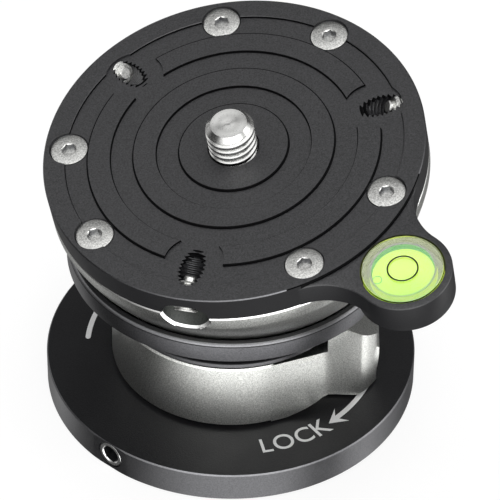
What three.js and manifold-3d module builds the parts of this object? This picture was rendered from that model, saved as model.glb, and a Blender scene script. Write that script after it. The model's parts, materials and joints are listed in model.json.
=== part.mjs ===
// A leveling base for a tripod: a half ball leans in a cup by up to 15 degrees, turns about its own axis,
// and is locked by a cam lever round the column. Millimetres, +Z up, origin under the centre of the base.

import * as THREE from 'three';
import { mergeVertices } from 'three/addons/utils/BufferGeometryUtils.js';
import Module from 'manifold-3d';

const wasm = await Module();
wasm.setup();

// Fits
const clearance = 0.3;
const seatGap = 0.1;
const overrun = 1;
const edgeBreak = 0.4;

// The tripod thread, 3/8"-16, used by the stud and by the bush in the base
const tripodThreadRadius = 4.76;
const tripodThreadPitch = 1.5875;
const tripodThreadDepth = 0.95;

// Base disc and the column that stands on it
const baseRadius = 37.3;
const baseThickness = 6.5;
const baseBevel = 0.5;
const columnRadius = 16.8;
const columnHeight = 12.5;
const bushRadius = 6.5;
const bushHeight = 8.5;
const bushFloor = 2;

// Set screw in the base's rim, on its milled flat
const rimScrewAngle = 230.3;
const rimScrewRadius = 2.5;
const rimScrewLength = 8;
const rimScrewTravel = 3;
const rimScrewHex = 3;
const rimFlatWidth = 8.2;
const rimScrewInset = 0.5;

// Lever ring with its lobe
const leverWall = 6.9;
const leverHeight = 15.3;
const leverLift = 0.6;
const leverFrom = -10;
const leverTo = 80;
const lobeOut = 5.3;
const lobeHalfWidth = 14.7;
const lobeScoopHalfWidth = 14.5;
const lobeCreaseOut = 2.7;
const lobeCreaseAngle = 43.95;
const lobeCorner = 3.3;
const lobeRise = 3.6;
const lobeTopBevel = 6.2;
const washerThickness = 0.3;
const washerWidth = 4;

// Clamp: rod, cross pin, nut and springs
const rodRadius = 4;
const pinRadius = 2;
const pinDrop = 3;
const pinReach = 3.2;
const clampTravel = 0.8;
const rodFoot = 1.1;
const springWire = 0.35;
const springTurns = 3;
const springSides = 5;
const springStepsPerTurn = 12;
const washerStackThickness = 1.2;
const nutAcrossFlats = 11;
const nutHeight = 4;
const rodEnd = 1.4;

// Seat cup
const cupFloor = 3;
const cupRimHeight = 4.2;
const cupRimWidth = 1.64;
const cupMouthDrop = 24.2;
const flangeGap = 1.55;
const flangeThickness = 1;
const flangeWidth = 1;
const cupNeckRadius = 22.5;
const cupScrewRadius = 1.5;
const cupScrewHeadRadius = 2.75;
const cupScrewHeadHeight = 1.8;
const cupScrewCircle = 11.4;
const cupScrewBite = 8;

// Half ball and the liner in its groove
const plateRadius = 37.5;
const ballBandDrop = 10.7;
const ballWall = 5;
const ballOpeningAngle = 25;
const ballBoreInset = 9;
const linerThickness = 0.6;
const linerFromAngle = 27.2;
const linerToAngle = 36.8;
const linerEndGapAngle = 0.5;

// Pressure dome inside the half ball
const domeThickness = 3;
const domeToAngle = 41;
const domeHubRadius = 9;
const domeHubHeight = 6.8;
const domeFootCut = 0.8;

// Top plate: turned steps, from the rim inwards
const plateTopDrop = 2.17;
const plateThickness = 5.73;
const plateEdge = 0.3;
const rimWidth = 4.28;
const recessWidth = 4.34;
const padWidth = 4.67;
const recessDepth = 0.5;

// Screws that hold the plate to the half ball
const plateScrewInset = 4.85;
const plateScrewOffset = 20;
const plateScrewRadius = 2;
const plateScrewHeadRadius = 3.65;
const plateScrewHeadHeight = 1.9;
const plateScrewLength = 11.5;
const plateScrewSink = 0.45;
const plateScrewHex = 2.5;

// Slanted grub screws that come up through the plate
const grubRadius = 2.5;
const grubHoleInset = 8.6;
const grubRecessInset = 9.2;
const grubRecessRadius = 5.8;
const grubSlope = 33.5;
const grubSink = 2.5;
const grubLength = 6;
const grubPointRadius = 1.3;
const grubPointLength = 1;
const grubHex = 2.5;
const socketDepthShare = 0.8;
const pocketHalfWidth = 4.75;
const pocketHalfHeight = 2.9;

// Ear with the bubble level
const earAngle = 314.2;
const earReach = 8.3;
const earRadius = 9.45;
const earFillet = 12;
const earTopDrop = 2.9;
const vialBossDrop = 1.9;
const vialBossFloor = 1.2;
const vialRadius = 8;
const vialWall = 1.4;
const vialFloor = 1;
const vialProud = 0.1;
const lensThickness = 1.2;
const targetRadius = 3.15;
const targetLine = 0.5;
const targetThickness = 0.15;

// Stud on the plate
const studHeight = 7;
const studTopRadius = 3.7;
const studHeadRadius = 9;
const studHeadThickness = 2.2;
const studWellWidth = 0.5;

// Pose in which the object stands
const restLean = 12.95;
const restHeading = 231.2;

// Facets round a circle
const fineFacets = 48;
const plateFacets = 72;
const mediumFacets = 32;
const smallFacets = 16;
const hexFacets = 6;
const arcStep = 9;

// Heights and radii that follow from the sizes above
const baseTop = baseThickness;
const leverBottom = baseTop + leverLift;
const leverTop = leverBottom + leverHeight;
const columnTop = baseTop + columnHeight;
const wellFloor = bushHeight + clearance + bushFloor;
const leverBore = columnRadius + clearance;
const leverRadius = leverBore + leverWall;
const lobeReach = leverRadius + lobeOut;
const pinHeight = columnTop - pinDrop;
const travelPerDegree = clampTravel / (leverTo - leverFrom);
const ballRadius = Math.hypot(plateRadius, ballBandDrop);
const seatRadius = ballRadius + clearance;
const ballInnerRadius = ballRadius - ballWall;
const domeRadius = ballInnerRadius - clearance;
const centreHeight = columnTop + seatGap + cupFloor + seatRadius;
const cupTop = centreHeight - cupMouthDrop;
const cupMouthRadius = Math.sqrt(seatRadius ** 2 - cupMouthDrop ** 2);
const cupRimRadius = cupMouthRadius + cupRimWidth;
const flangeBottom = leverTop + flangeGap;
const flangeTop = flangeBottom + flangeThickness;
const flangeRadius = leverRadius + flangeWidth;
const plateTop = -plateTopDrop;
const plateBottom = plateTop - plateThickness;
const ballTop = plateBottom - clearance;
const vialBossBottom = plateBottom - vialBossDrop;
const ballBore = plateRadius - ballBoreInset;
const thirds = [0, 120, 240];
const cupScrewAngles = thirds;
const holeAngles = thirds.map((step) => earAngle + 60 + step);
const screwSides = [-plateScrewOffset, plateScrewOffset];
const plateScrewAngles = thirds.flatMap((step) => screwSides.map((side) => earAngle + step + side));

const radians = THREE.MathUtils.degToRad;
const degrees = THREE.MathUtils.radToDeg;
const polar = (radius, angle) => [radius * Math.cos(radians(angle)), radius * Math.sin(radians(angle))];
const [lobeCreaseReach, lobeCreaseHalfWidth] = polar(leverRadius + lobeCreaseOut, lobeCreaseAngle);

// Materials
const finish = (color, roughness, metalness) =>
  new THREE.MeshStandardMaterial({ color, roughness, metalness });
const blackAnodised = finish(0x3c3d3f, 0.45, 0.6);
const silverAnodised = finish(0xb9bcb8, 0.42, 0.9);
const stainless = finish(0xc4c4c0, 0.35, 1);
const darkSteel = finish(0x6d6f70, 0.4, 1);
const brass = finish(0xc4a04e, 0.35, 1);
const slipPlastic = finish(0xe8e6df, 0.5, 0);
const acrylic = finish(0xdfe8c8, 0.1, 0);
const levelFluid = finish(0xd6f840, 0.1, 0);
const printInk = finish(0x1a1c14, 0.6, 0);

// Turns a closed geometry into a solid that can be joined and cut.
function solid(geometry) {
  const bare = geometry.clone();
  bare.deleteAttribute('normal');
  bare.deleteAttribute('uv');
  const merged = mergeVertices(bare.index ? bare.toNonIndexed() : bare);
  const index = merged.index.array;
  const kept = [];
  for (let i = 0; i < index.length; i += 3) {
    const [a, b, c] = [index[i], index[i + 1], index[i + 2]];
    if (a !== b && b !== c && c !== a) kept.push(a, b, c);
  }
  const vertProperties = new Float32Array(merged.attributes.position.array);
  const mesh = new wasm.Mesh({ numProp: 3, vertProperties, triVerts: new Uint32Array(kept) });
  return new wasm.Manifold(mesh);
}

// Turns a solid back into a geometry.
function surface(body) {
  const { vertProperties, triVerts } = body.getMesh();
  const geometry = new THREE.BufferGeometry();
  geometry.setAttribute('position', new THREE.BufferAttribute(new Float32Array(vertProperties), 3));
  geometry.setIndex(new THREE.BufferAttribute(new Uint32Array(triVerts), 1));
  const faceted = geometry.toNonIndexed();
  faceted.computeVertexNormals();
  return faceted;
}

const join = (...bodies) => bodies.reduce((all, body) => all.add(body));
const cut = (body, ...tools) => tools.reduce((rest, tool) => rest.subtract(tool), body);

// A solid of revolution about Z from [radius, height] points in counterclockwise order.
// A profile off the axis is closed on itself.
function turned(profile, facets = fineFacets) {
  const first = profile[0];
  const last = profile[profile.length - 1];
  const closed = first[0] === 0 && last[0] === 0 ? profile : [...profile, first];
  const points = closed.map(([radius, height]) => new THREE.Vector2(radius, height));
  return solid(new THREE.LatheGeometry(points, facets).rotateX(Math.PI / 2));
}

// A cylinder about Z between two heights.
const drum = (radius, bottom, top, facets = smallFacets) =>
  turned([[0, bottom], [radius, bottom], [radius, top], [0, top]], facets);

// A flat shape given by its outline, raised between two heights.
function raised(outline, bottom, top) {
  const shape = new THREE.Shape(outline.map(([x, y]) => new THREE.Vector2(x, y)));
  const geometry = new THREE.ExtrudeGeometry(shape, { depth: top - bottom, bevelEnabled: false });
  return solid(geometry.translate(0, 0, bottom));
}

// A hexagonal prism about Z, for sockets and nuts.
const hexPrism = (flats, bottom, top) => drum(flats / Math.sqrt(3), bottom, top, hexFacets);

// Points of an arc in the plane, from one angle to another in degrees.
function arc(radius, from, to, centre = [0, 0], step = arcStep) {
  const count = Math.ceil(Math.abs(to - from) / step);
  return Array.from({ length: count + 1 }, (_, i) => {
    const [x, y] = polar(radius, from + ((to - from) * i) / count);
    return [centre[0] + x, centre[1] + y];
  });
}

// Points of a sphere's profile about Z, by the angle from straight down.
const bowl = (radius, from, to, centre = 0) =>
  arc(radius, from - 90, to - 90, [0, centre]);

// Moves and turns a solid by a three.js matrix.
function placed(body, matrix) {
  return solid(surface(body).applyMatrix4(matrix));
}

const moved = (body, x, y, z) => placed(body, new THREE.Matrix4().makeTranslation(x, y, z));
const spun = (body, angle) => placed(body, new THREE.Matrix4().makeRotationZ(radians(angle)));

// The matrix that puts a solid made about Z at a place, with its Z along a direction.
function aimed(origin, direction) {
  const up = new THREE.Vector3(0, 0, 1);
  const turn = new THREE.Quaternion().setFromUnitVectors(up, direction.clone().normalize());
  return new THREE.Matrix4().compose(origin, turn, new THREE.Vector3(1, 1, 1));
}

// A rod about Z with a V thread, chamfered at its top end.
function threadedRod(radius, pitch, depth, bottom, top, tipRadius, facets = 20, rowsPerTurn = 4) {
  const rows = Math.round(((top - bottom) / pitch) * rowsPerTurn);
  const positions = [0, 0, bottom];
  for (let row = 0; row <= rows; row += 1) {
    const height = bottom + ((top - bottom) * row) / rows;
    const coned = tipRadius + (top - height);
    for (let k = 0; k < facets; k += 1) {
      const phase = (((height - bottom) / pitch - k / facets) % 1 + 1) % 1;
      const flank = Math.abs(2 * phase - 1);
      const here = Math.min(radius - depth * flank, coned);
      positions.push(...polar(here, (360 * k) / facets), height);
    }
  }
  positions.push(0, 0, top);
  const at = (row, k) => 1 + row * facets + (k % facets);
  const last = 1 + (rows + 1) * facets;
  const index = [];
  for (let k = 0; k < facets; k += 1) {
    index.push(0, at(0, k + 1), at(0, k));
    index.push(last, at(rows, k), at(rows, k + 1));
    for (let row = 0; row < rows; row += 1) {
      index.push(at(row, k), at(row, k + 1), at(row + 1, k + 1));
      index.push(at(row, k), at(row + 1, k + 1), at(row + 1, k));
    }
  }
  const geometry = new THREE.BufferGeometry();
  geometry.setAttribute('position', new THREE.Float32BufferAttribute(positions, 3));
  geometry.setIndex(index);
  return solid(geometry);
}

// A grub screw about Z: hex socket at the bottom, stub point at the top.
function grubScrew(radius, length, hex, pointRadius, pointLength) {
  const shoulder = length - pointLength;
  const body = turned([
    [0, 0], [radius - edgeBreak, 0], [radius, edgeBreak], [radius, shoulder - edgeBreak],
    [radius - edgeBreak, shoulder], [pointRadius, shoulder], [pointRadius, length], [0, length],
  ], smallFacets);
  return cut(body, hexPrism(hex, -overrun, length / 2));
}

// Base disc, with the column, the bush's well, the rod's well and the pin's slot
function baseDisc() {
  const disc = turned([
    [0, 0], [baseRadius - edgeBreak, 0], [baseRadius, edgeBreak], [baseRadius, baseTop - baseBevel],
    [baseRadius - baseBevel, baseTop], [columnRadius, baseTop], [columnRadius, columnTop - edgeBreak],
    [columnRadius - edgeBreak, columnTop], [0, columnTop],
  ]);
  const bushWell = drum(bushRadius + clearance, -overrun, bushHeight + clearance, smallFacets);
  const rodWell = drum(rodRadius + clearance * 2, wellFloor, columnTop + overrun);
  const slotHalf = pinRadius + clearance;
  const slotOutline = [
    [-slotHalf, -columnRadius - overrun], [slotHalf, -columnRadius - overrun],
    [slotHalf, columnRadius + overrun], [-slotHalf, columnRadius + overrun],
  ];
  const slot = raised(slotOutline, pinHeight - slotHalf - clampTravel / 2, columnTop + overrun);
  const screwFoot = columnTop - cupScrewBite - clearance;
  const screwHoles = cupScrewAngles.map((angle) => {
    const hole = drum(cupScrewRadius + clearance, screwFoot, columnTop + overrun);
    return moved(hole, ...polar(cupScrewCircle, angle), 0);
  });
  const [flatX, flatY] = polar(1, rimScrewAngle);
  const flatDistance = Math.sqrt(baseRadius ** 2 - (rimFlatWidth / 2) ** 2);
  const flatOutline = [
    [flatDistance, -rimFlatWidth], [flatDistance + rimFlatWidth, -rimFlatWidth],
    [flatDistance + rimFlatWidth, rimFlatWidth], [flatDistance, rimFlatWidth],
  ];
  const flat = spun(raised(flatOutline, -overrun, baseTop + overrun), rimScrewAngle);
  const holeDepth = rimScrewInset + rimScrewLength + rimScrewTravel + clearance;
  const inward = new THREE.Vector3(-flatX, -flatY, 0);
  const mouth = new THREE.Vector3(baseRadius * flatX, baseRadius * flatY, baseThickness / 2);
  const rimHole = placed(drum(rimScrewRadius + clearance, -overrun, holeDepth), aimed(mouth, inward));
  return cut(disc, bushWell, rodWell, slot, flat, rimHole, ...screwHoles);
}

// Threaded bush pressed into the base from below
function tripodBush() {
  const minor = tripodThreadRadius - tripodThreadDepth;
  return turned([
    [minor, seatGap], [bushRadius, seatGap], [bushRadius, bushHeight], [minor, bushHeight],
  ], smallFacets);
}

// Thin washer that the lever ring runs on
function thrustWasher() {
  const bottom = baseTop + (leverLift - washerThickness) / 2;
  return turned([
    [leverBore, bottom], [leverBore + washerWidth, bottom],
    [leverBore + washerWidth, bottom + washerThickness], [leverBore, bottom + washerThickness],
  ], mediumFacets);
}

// The lobe between its lower and its upper outline, which has the neck's overhang above the finger scoop
function lobeLoft() {
  const root = leverRadius - (leverRadius - leverBore) / 2;
  const scoopReach = (lobeCreaseReach + lobeReach) / 2 - lobeCorner / 2;
  const near = Math.sqrt(leverRadius ** 2 - lobeCreaseHalfWidth ** 2);
  const rootReach = Math.sqrt(root ** 2 - lobeScoopHalfWidth ** 2);
  const lower = [
    [rootReach, -lobeScoopHalfWidth], [lobeCreaseReach, -lobeScoopHalfWidth - edgeBreak],
    [scoopReach, -lobeScoopHalfWidth], [lobeReach - lobeCorner, -lobeHalfWidth],
    [lobeReach, -lobeHalfWidth + lobeCorner],
  ];
  const upper = [
    [near, -lobeCreaseHalfWidth - lobeCorner / 3], [lobeCreaseReach, -lobeCreaseHalfWidth],
    [scoopReach, (-lobeCreaseHalfWidth - lobeHalfWidth) / 2], [lobeReach - lobeCorner, -lobeHalfWidth],
    [lobeReach, -lobeHalfWidth + lobeCorner],
  ];
  const mirrored = (side) => [...side, ...side.map(([x, y]) => [x, -y]).reverse()];
  const rings = [mirrored(lower), mirrored(upper)];
  const heights = [leverBottom, leverTop];
  const count = rings[0].length;
  const positions = rings.flatMap((ring, level) => ring.flatMap(([x, y]) => [x, y, heights[level]]));
  const index = [];
  for (let k = 0; k < count; k += 1) {
    const next = (k + 1) % count;
    index.push(k, next, count + next, k, count + next, count + k);
  }
  const flat = rings.map((ring) => ring.map(([x, y]) => new THREE.Vector2(x, y)));
  const caps = flat.map((ring) => THREE.ShapeUtils.triangulateShape(ring, []));
  caps[0].forEach(([a, b, c]) => index.push(a, c, b));
  caps[1].forEach(([a, b, c]) => index.push(count + a, count + b, count + c));
  const geometry = new THREE.BufferGeometry();
  geometry.setAttribute('position', new THREE.Float32BufferAttribute(positions, 3));
  geometry.setIndex(index);
  return { loft: solid(geometry), outline: rings[1] };
}

// Lever ring: bore, cam slots for the cross pin, and the lobe that the fingers turn
function leverRing() {
  const ring = turned([
    [columnRadius, leverBottom], [leverRadius - edgeBreak, leverBottom],
    [leverRadius, leverBottom + edgeBreak], [leverRadius, leverTop - edgeBreak],
    [leverRadius - edgeBreak, leverTop], [columnRadius, leverTop],
  ]);
  const { loft, outline } = lobeLoft();
  const riseTop = leverTop + lobeRise;
  const rise = raised(outline, leverTop - edgeBreak, riseTop);
  const riseBore = drum(flangeRadius + clearance * 2, leverTop, riseTop + overrun, fineFacets);
  const bevelOutline = [
    [lobeReach - lobeTopBevel, riseTop], [lobeReach + overrun, riseTop - lobeTopBevel - overrun],
    [lobeReach + lobeReach, riseTop], [lobeReach + lobeReach, riseTop + overrun],
    [lobeReach - lobeTopBevel - overrun, riseTop + overrun],
  ];
  const bevelSlab = placed(
    raised(bevelOutline, -lobeReach, lobeReach),
    new THREE.Matrix4().makeRotationX(Math.PI / 2),
  );
  const bore = drum(leverBore, leverBottom - overrun, riseTop + overrun, fineFacets);
  const body = cut(join(ring, loft, cut(rise, riseBore)), bore, bevelSlab);
  return cut(body, ...camSlots());
}

// Both cam slots: boxes set along a helix, so that turning the lever drives the pin up or down
function camSlots() {
  const slotReach = leverBore + pinReach + clearance;
  const half = pinRadius + clearance * 1.5;
  const steps = 8;
  const span = leverTo - leverFrom;
  const tangent = Math.tan(radians(span / steps)) * slotReach + half;
  return [90, 270].flatMap((side) => Array.from({ length: steps + 1 }, (_, i) => {
    const lever = leverFrom + (span * i) / steps;
    const height = pinHeight + lever * travelPerDegree;
    const outline = [
      [columnRadius - overrun, -tangent / 2], [slotReach, -tangent / 2],
      [slotReach, tangent / 2], [columnRadius - overrun, tangent / 2],
    ];
    return spun(raised(outline, height - half, height + half), side - lever);
  }));
}

// Rod that the lever draws down, cross-drilled for the pin
function clampRod() {
  const bottom = wellFloor + springTurns * springWire * 2 + rodFoot;
  const rod = turned([
    [0, bottom], [rodRadius - edgeBreak, bottom], [rodRadius, bottom + edgeBreak],
    [rodRadius, rodTop - edgeBreak], [rodRadius - edgeBreak, rodTop], [0, rodTop],
  ], smallFacets);
  const reach = rodRadius + overrun;
  const across = new THREE.Matrix4().makeRotationX(Math.PI / 2).setPosition(0, 0, pinHeight);
  const crossHole = placed(drum(pinRadius + clearance, -reach, reach), across);
  return cut(rod, crossHole);
}

const domeFoot = centreHeight - domeRadius + domeFootCut;
const hubTop = domeFoot + domeHubHeight;
const stackBottom = hubTop + clearance;
const nutBottom = stackBottom + washerStackThickness + seatGap;
const rodTop = nutBottom + nutHeight + rodEnd;

// Cross pin, lying along Y through the rod
function crossPin() {
  const reach = leverBore + pinReach - clearance;
  const pin = drum(pinRadius, -reach, reach, smallFacets);
  return placed(pin, new THREE.Matrix4().makeRotationX(Math.PI / 2));
}

// Nut on the rod's upper end
function rodNut() {
  const hex = hexPrism(nutAcrossFlats, nutBottom, nutBottom + nutHeight);
  return cut(hex, drum(rodRadius + clearance, nutBottom - overrun, rodTop));
}

// Coned spring washer between the nut and the dome's hub
function springWasher() {
  const inner = rodRadius + clearance;
  const outer = domeHubRadius - edgeBreak;
  const half = washerStackThickness / 2;
  return turned([
    [inner, stackBottom + half], [outer, stackBottom],
    [outer, stackBottom + half], [inner, stackBottom + half + half],
  ], smallFacets);
}

// Compression spring in the foot of the rod's well, which lifts the clamp when the lever lets go
function releaseSpring() {
  const floor = wellFloor + clearance / 2;
  const radius = rodRadius - springWire;
  const rise = springTurns * springWire * 2 + rodFoot - springWire * 2 - clearance;
  class Helix extends THREE.Curve {
    getPoint(t, target = new THREE.Vector3()) {
      const [x, y] = polar(radius, 360 * springTurns * t);
      return target.set(x, y, floor + springWire + rise * t);
    }
  }
  const corners = Array.from({ length: springSides }, (_, k) => polar(springWire, (360 * k) / springSides));
  const section = new THREE.Shape(corners.map(([x, y]) => new THREE.Vector2(x, y)));
  const steps = springTurns * springStepsPerTurn;
  const coil = new THREE.ExtrudeGeometry(section, { steps, extrudePath: new Helix(), bevelEnabled: false });
  return solid(coil);
}

// Seat cup: spigot on the column, thin flange over the lever, neck and thick rim, with a spherical seat
function seatCup() {
  const bottom = columnTop + seatGap;
  const rimBottom = cupTop - cupRimHeight;
  const rodHole = rodRadius + clearance * 2;
  const fromAngle = degrees(Math.asin(rodHole / seatRadius));
  const toAngle = degrees(Math.asin(cupMouthRadius / seatRadius));
  const seat = bowl(seatRadius, toAngle, fromAngle, centreHeight);
  const body = turned([
    [rodHole, bottom], [columnRadius, bottom], [columnRadius, flangeBottom], [flangeRadius, flangeBottom],
    [flangeRadius, flangeTop], [cupNeckRadius, flangeTop], [cupMouthRadius - cupRimWidth, rimBottom],
    [cupRimRadius - edgeBreak, rimBottom], [cupRimRadius, rimBottom + edgeBreak],
    [cupRimRadius, cupTop - edgeBreak], [cupRimRadius - edgeBreak, cupTop], ...seat,
  ]);
  const headTop = cupScrewHeadBottom + cupScrewHeadHeight + cupFloor;
  const holes = cupScrewAngles.flatMap((angle) => {
    const [x, y] = polar(cupScrewCircle, angle);
    const through = drum(cupScrewRadius + clearance, bottom - overrun, cupScrewHeadBottom + overrun);
    const head = drum(cupScrewHeadRadius + clearance, cupScrewHeadBottom - clearance, headTop);
    return [moved(through, x, y, 0), moved(head, x, y, 0)];
  });
  return cut(body, ...holes);
}

const headInnerReach = cupScrewCircle - cupScrewHeadRadius;
const seatAtHead = centreHeight - Math.sqrt(seatRadius ** 2 - headInnerReach ** 2);
const cupScrewHeadBottom = seatAtHead - clearance - cupScrewHeadHeight;

// Socket screw that holds the cup on the column
function cupScrew() {
  const bottom = columnTop - cupScrewBite;
  const headTop = cupScrewHeadBottom + cupScrewHeadHeight;
  const body = turned([
    [0, bottom], [cupScrewRadius, bottom], [cupScrewRadius, cupScrewHeadBottom],
    [cupScrewHeadRadius, cupScrewHeadBottom], [cupScrewHeadRadius, headTop], [0, headTop],
  ], smallFacets);
  return cut(body, hexPrism(cupScrewHeadRadius, headTop - cupScrewHeadHeight / 2, headTop + overrun));
}

// Half ball: band, sphere, opening for the rod, liner groove, and blind holes for the plate's screws
function halfBall() {
  const groove = ballRadius - linerThickness - clearance;
  const grooveFrom = linerFromAngle - linerEndGapAngle;
  const grooveTo = linerToAngle + linerEndGapAngle;
  const bandAngle = degrees(Math.atan2(plateRadius, ballBandDrop));
  const boreAngle = degrees(Math.asin(ballBore / ballInnerRadius));
  const body = turned([
    ...bowl(ballRadius, ballOpeningAngle, grooveFrom), ...bowl(groove, grooveFrom, grooveTo),
    ...bowl(ballRadius, grooveTo, bandAngle), [plateRadius, ballTop - edgeBreak],
    [plateRadius - edgeBreak, ballTop], [ballBore, ballTop],
    ...bowl(ballInnerRadius, boreAngle, ballOpeningAngle),
  ]);
  const holeFoot = plateTop - plateScrewLength - clearance;
  const screwHoles = plateScrewAngles.map((angle) => {
    const hole = drum(plateScrewRadius + clearance, holeFoot, plateBottom);
    return moved(hole, ...polar(plateRadius - plateScrewInset, angle), 0);
  });
  return cut(body, ...screwHoles, ...holeAngles.map(grubHole), ...holeAngles.map(rimPocket));
}

// Where a slanted hole runs: its mouth in the plate's top, and its direction outwards and down
function grubLine(angle) {
  const [x, y] = polar(1, angle);
  const outward = new THREE.Vector3(x, y, 0).multiplyScalar(Math.cos(radians(grubSlope)));
  const direction = outward.setZ(-Math.sin(radians(grubSlope)));
  const mouthRadius = plateRadius - grubHoleInset;
  return { mouth: new THREE.Vector3(x * mouthRadius, y * mouthRadius, plateTop), direction };
}

// Slanted hole for a grub screw
function grubHole(angle) {
  const { mouth, direction } = grubLine(angle);
  const hole = drum(grubRadius + clearance / 2, -grubHoleInset, grubSink + grubLength + clearance);
  return placed(hole, aimed(mouth, direction));
}

// Oval pocket in the rim at the lower end of a slanted hole
function rimPocket(angle) {
  const { mouth, direction } = grubLine(angle);
  const along = grubSink + grubLength;
  const [x, y] = polar(1, angle);
  const side = new THREE.Vector3(-y, x, 0);
  const rise = new THREE.Vector3().crossVectors(direction, side);
  const origin = mouth.clone().addScaledVector(direction, along - clearance);
  const matrix = new THREE.Matrix4().makeBasis(
    side.multiplyScalar(pocketHalfWidth),
    rise.multiplyScalar(pocketHalfHeight),
    direction,
  ).setPosition(origin);
  const slope = Math.cos(radians(grubSlope));
  return placed(drum(1, 0, plateRadius / slope - along, mediumFacets), matrix);
}

// Screw hole with its pocket for a flat head, in the top plate
function plateScrewHole(angle) {
  const headTop = plateTop - plateScrewSink;
  const shankTop = headTop - plateScrewHeadHeight;
  const wide = plateScrewHeadRadius + clearance;
  const narrow = plateScrewRadius + clearance;
  const hole = turned([
    [0, plateBottom - overrun], [narrow, plateBottom - overrun], [narrow, shankTop], [wide, headTop],
    [wide, plateTop + overrun], [0, plateTop + overrun],
  ], smallFacets);
  return moved(hole, ...polar(plateRadius - plateScrewInset, angle), 0);
}

// Flat-head screw with a hex socket
function plateScrew() {
  const headTop = plateTop - plateScrewSink;
  const foot = plateTop - plateScrewLength;
  const body = turned([
    [0, foot], [plateScrewRadius, foot], [plateScrewRadius, headTop - plateScrewHeadHeight - clearance],
    [plateScrewHeadRadius, headTop - clearance / 2], [plateScrewHeadRadius, headTop], [0, headTop],
  ], smallFacets);
  const socketFloor = headTop - plateScrewHeadHeight * socketDepthShare;
  return cut(body, hexPrism(plateScrewHex, socketFloor, headTop + overrun));
}

// Outline of the ear, with hollow fillets where it meets the disc
function earOutline() {
  const ear = plateRadius + earReach;
  const toFillet = plateRadius + earFillet;
  const fromEar = earRadius + earFillet;
  const cosine = (toFillet ** 2 + ear ** 2 - fromEar ** 2) / (2 * toFillet * ear);
  const atDisc = degrees(Math.acos(cosine));
  const [filletX, filletY] = polar(toFillet, atDisc);
  const towardEar = degrees(Math.atan2(filletY, filletX - ear));
  const nose = arc(earRadius, -towardEar, towardEar, [ear, 0], arcStep);
  const upper = arc(earFillet, towardEar - 180, atDisc - 180, [filletX, filletY], arcStep);
  const lower = upper.map(([x, y]) => [x, -y]).reverse();
  const inner = plateRadius - rimWidth;
  const innerAngle = atDisc / 2;
  return [polar(inner, -innerAngle), ...lower, ...nose, ...upper, polar(inner, innerAngle)];
}

// Top plate: steps, ear, and holes for the stud, the screws, the grub screws and the vial
function topPlate() {
  const recessed = plateTop - recessDepth;
  const steps = [];
  let radius = plateRadius - rimWidth;
  [recessWidth, padWidth, recessWidth, padWidth, recessWidth].forEach((width, k) => {
    const [outer, inner] = k % 2 === 0 ? [plateTop, recessed] : [recessed, plateTop];
    steps.push([radius, outer], [radius, inner]);
    radius -= width;
  });
  steps.push([radius, recessed], [radius, plateTop]);
  const studBore = tripodThreadRadius + clearance;
  const disc = turned([
    [studBore, plateBottom], [plateRadius - edgeBreak, plateBottom], [plateRadius, plateBottom + edgeBreak],
    [plateRadius, plateTop - plateEdge], [plateRadius - plateEdge, plateTop],
    ...steps, [studBore, plateTop],
  ], plateFacets);
  const earTop = -earTopDrop;
  const boss = cut(
    moved(drum(earRadius, vialBossBottom, plateBottom + edgeBreak, mediumFacets), plateRadius + earReach, 0, 0),
    drum(plateRadius + clearance, vialBossBottom - overrun, plateBottom, fineFacets),
  );
  const ear = join(raised(earOutline(), plateBottom, earTop), boss);
  const wellBottom = vialBossBottom + vialBossFloor;
  const well = drum(vialRadius + clearance, wellBottom, plateTop + overrun, mediumFacets);
  const vialWell = moved(well, ...polar(plateRadius + earReach, earAngle), 0);
  const recesses = holeAngles.map((angle) => {
    const recess = drum(grubRecessRadius, recessed, plateTop + overrun, mediumFacets);
    return moved(recess, ...polar(plateRadius - grubRecessInset, angle), 0);
  });
  return cut(
    join(disc, spun(ear, earAngle)), vialWell, ...recesses,
    ...holeAngles.map(grubHole), ...holeAngles.map(rimPocket), ...plateScrewAngles.map(plateScrewHole),
  );
}

// Stud: head under the plate, plain shank in it, thread above it
function mountingStud() {
  const headTop = plateBottom - clearance;
  const threadFrom = plateTop - recessDepth;
  const shankRadius = tripodThreadRadius - studWellWidth;
  const shank = turned([
    [0, headTop - studHeadThickness], [studHeadRadius, headTop - studHeadThickness],
    [studHeadRadius, headTop], [shankRadius, headTop],
    [shankRadius, threadFrom + edgeBreak], [0, threadFrom + edgeBreak],
  ], mediumFacets);
  const thread = threadedRod(
    tripodThreadRadius, tripodThreadPitch, tripodThreadDepth,
    threadFrom, plateTop + studHeight, studTopRadius,
  );
  return join(shank, thread);
}

// Vial of the level: a clear cup, its fluid, a target ring and the lens over them
const vialBottom = vialBossBottom + vialBossFloor + clearance;
const vialTop = -earTopDrop + vialProud;
const fluidRadius = vialRadius - vialWall - clearance;
const fluidBottom = vialBottom + vialFloor + clearance;
const lensBottom = vialTop - lensThickness;
const fluidTop = lensBottom - clearance * 2 - targetThickness;

function vialCase() {
  const inner = vialRadius - vialWall;
  return turned([
    [0, vialBottom], [vialRadius, vialBottom], [vialRadius, vialTop - edgeBreak],
    [vialRadius - edgeBreak, vialTop], [inner, vialTop],
    [inner, vialBottom + vialFloor], [0, vialBottom + vialFloor],
  ], mediumFacets);
}

function vialLens() {
  return turned([
    [0, lensBottom], [fluidRadius, lensBottom], [fluidRadius, vialTop - edgeBreak],
    [fluidRadius - edgeBreak, vialTop], [0, vialTop],
  ], mediumFacets);
}

function targetRing() {
  const bottom = fluidTop + clearance;
  return turned([
    [targetRadius - targetLine, bottom], [targetRadius, bottom],
    [targetRadius, bottom + targetThickness], [targetRadius - targetLine, bottom + targetThickness],
  ], smallFacets);
}

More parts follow.
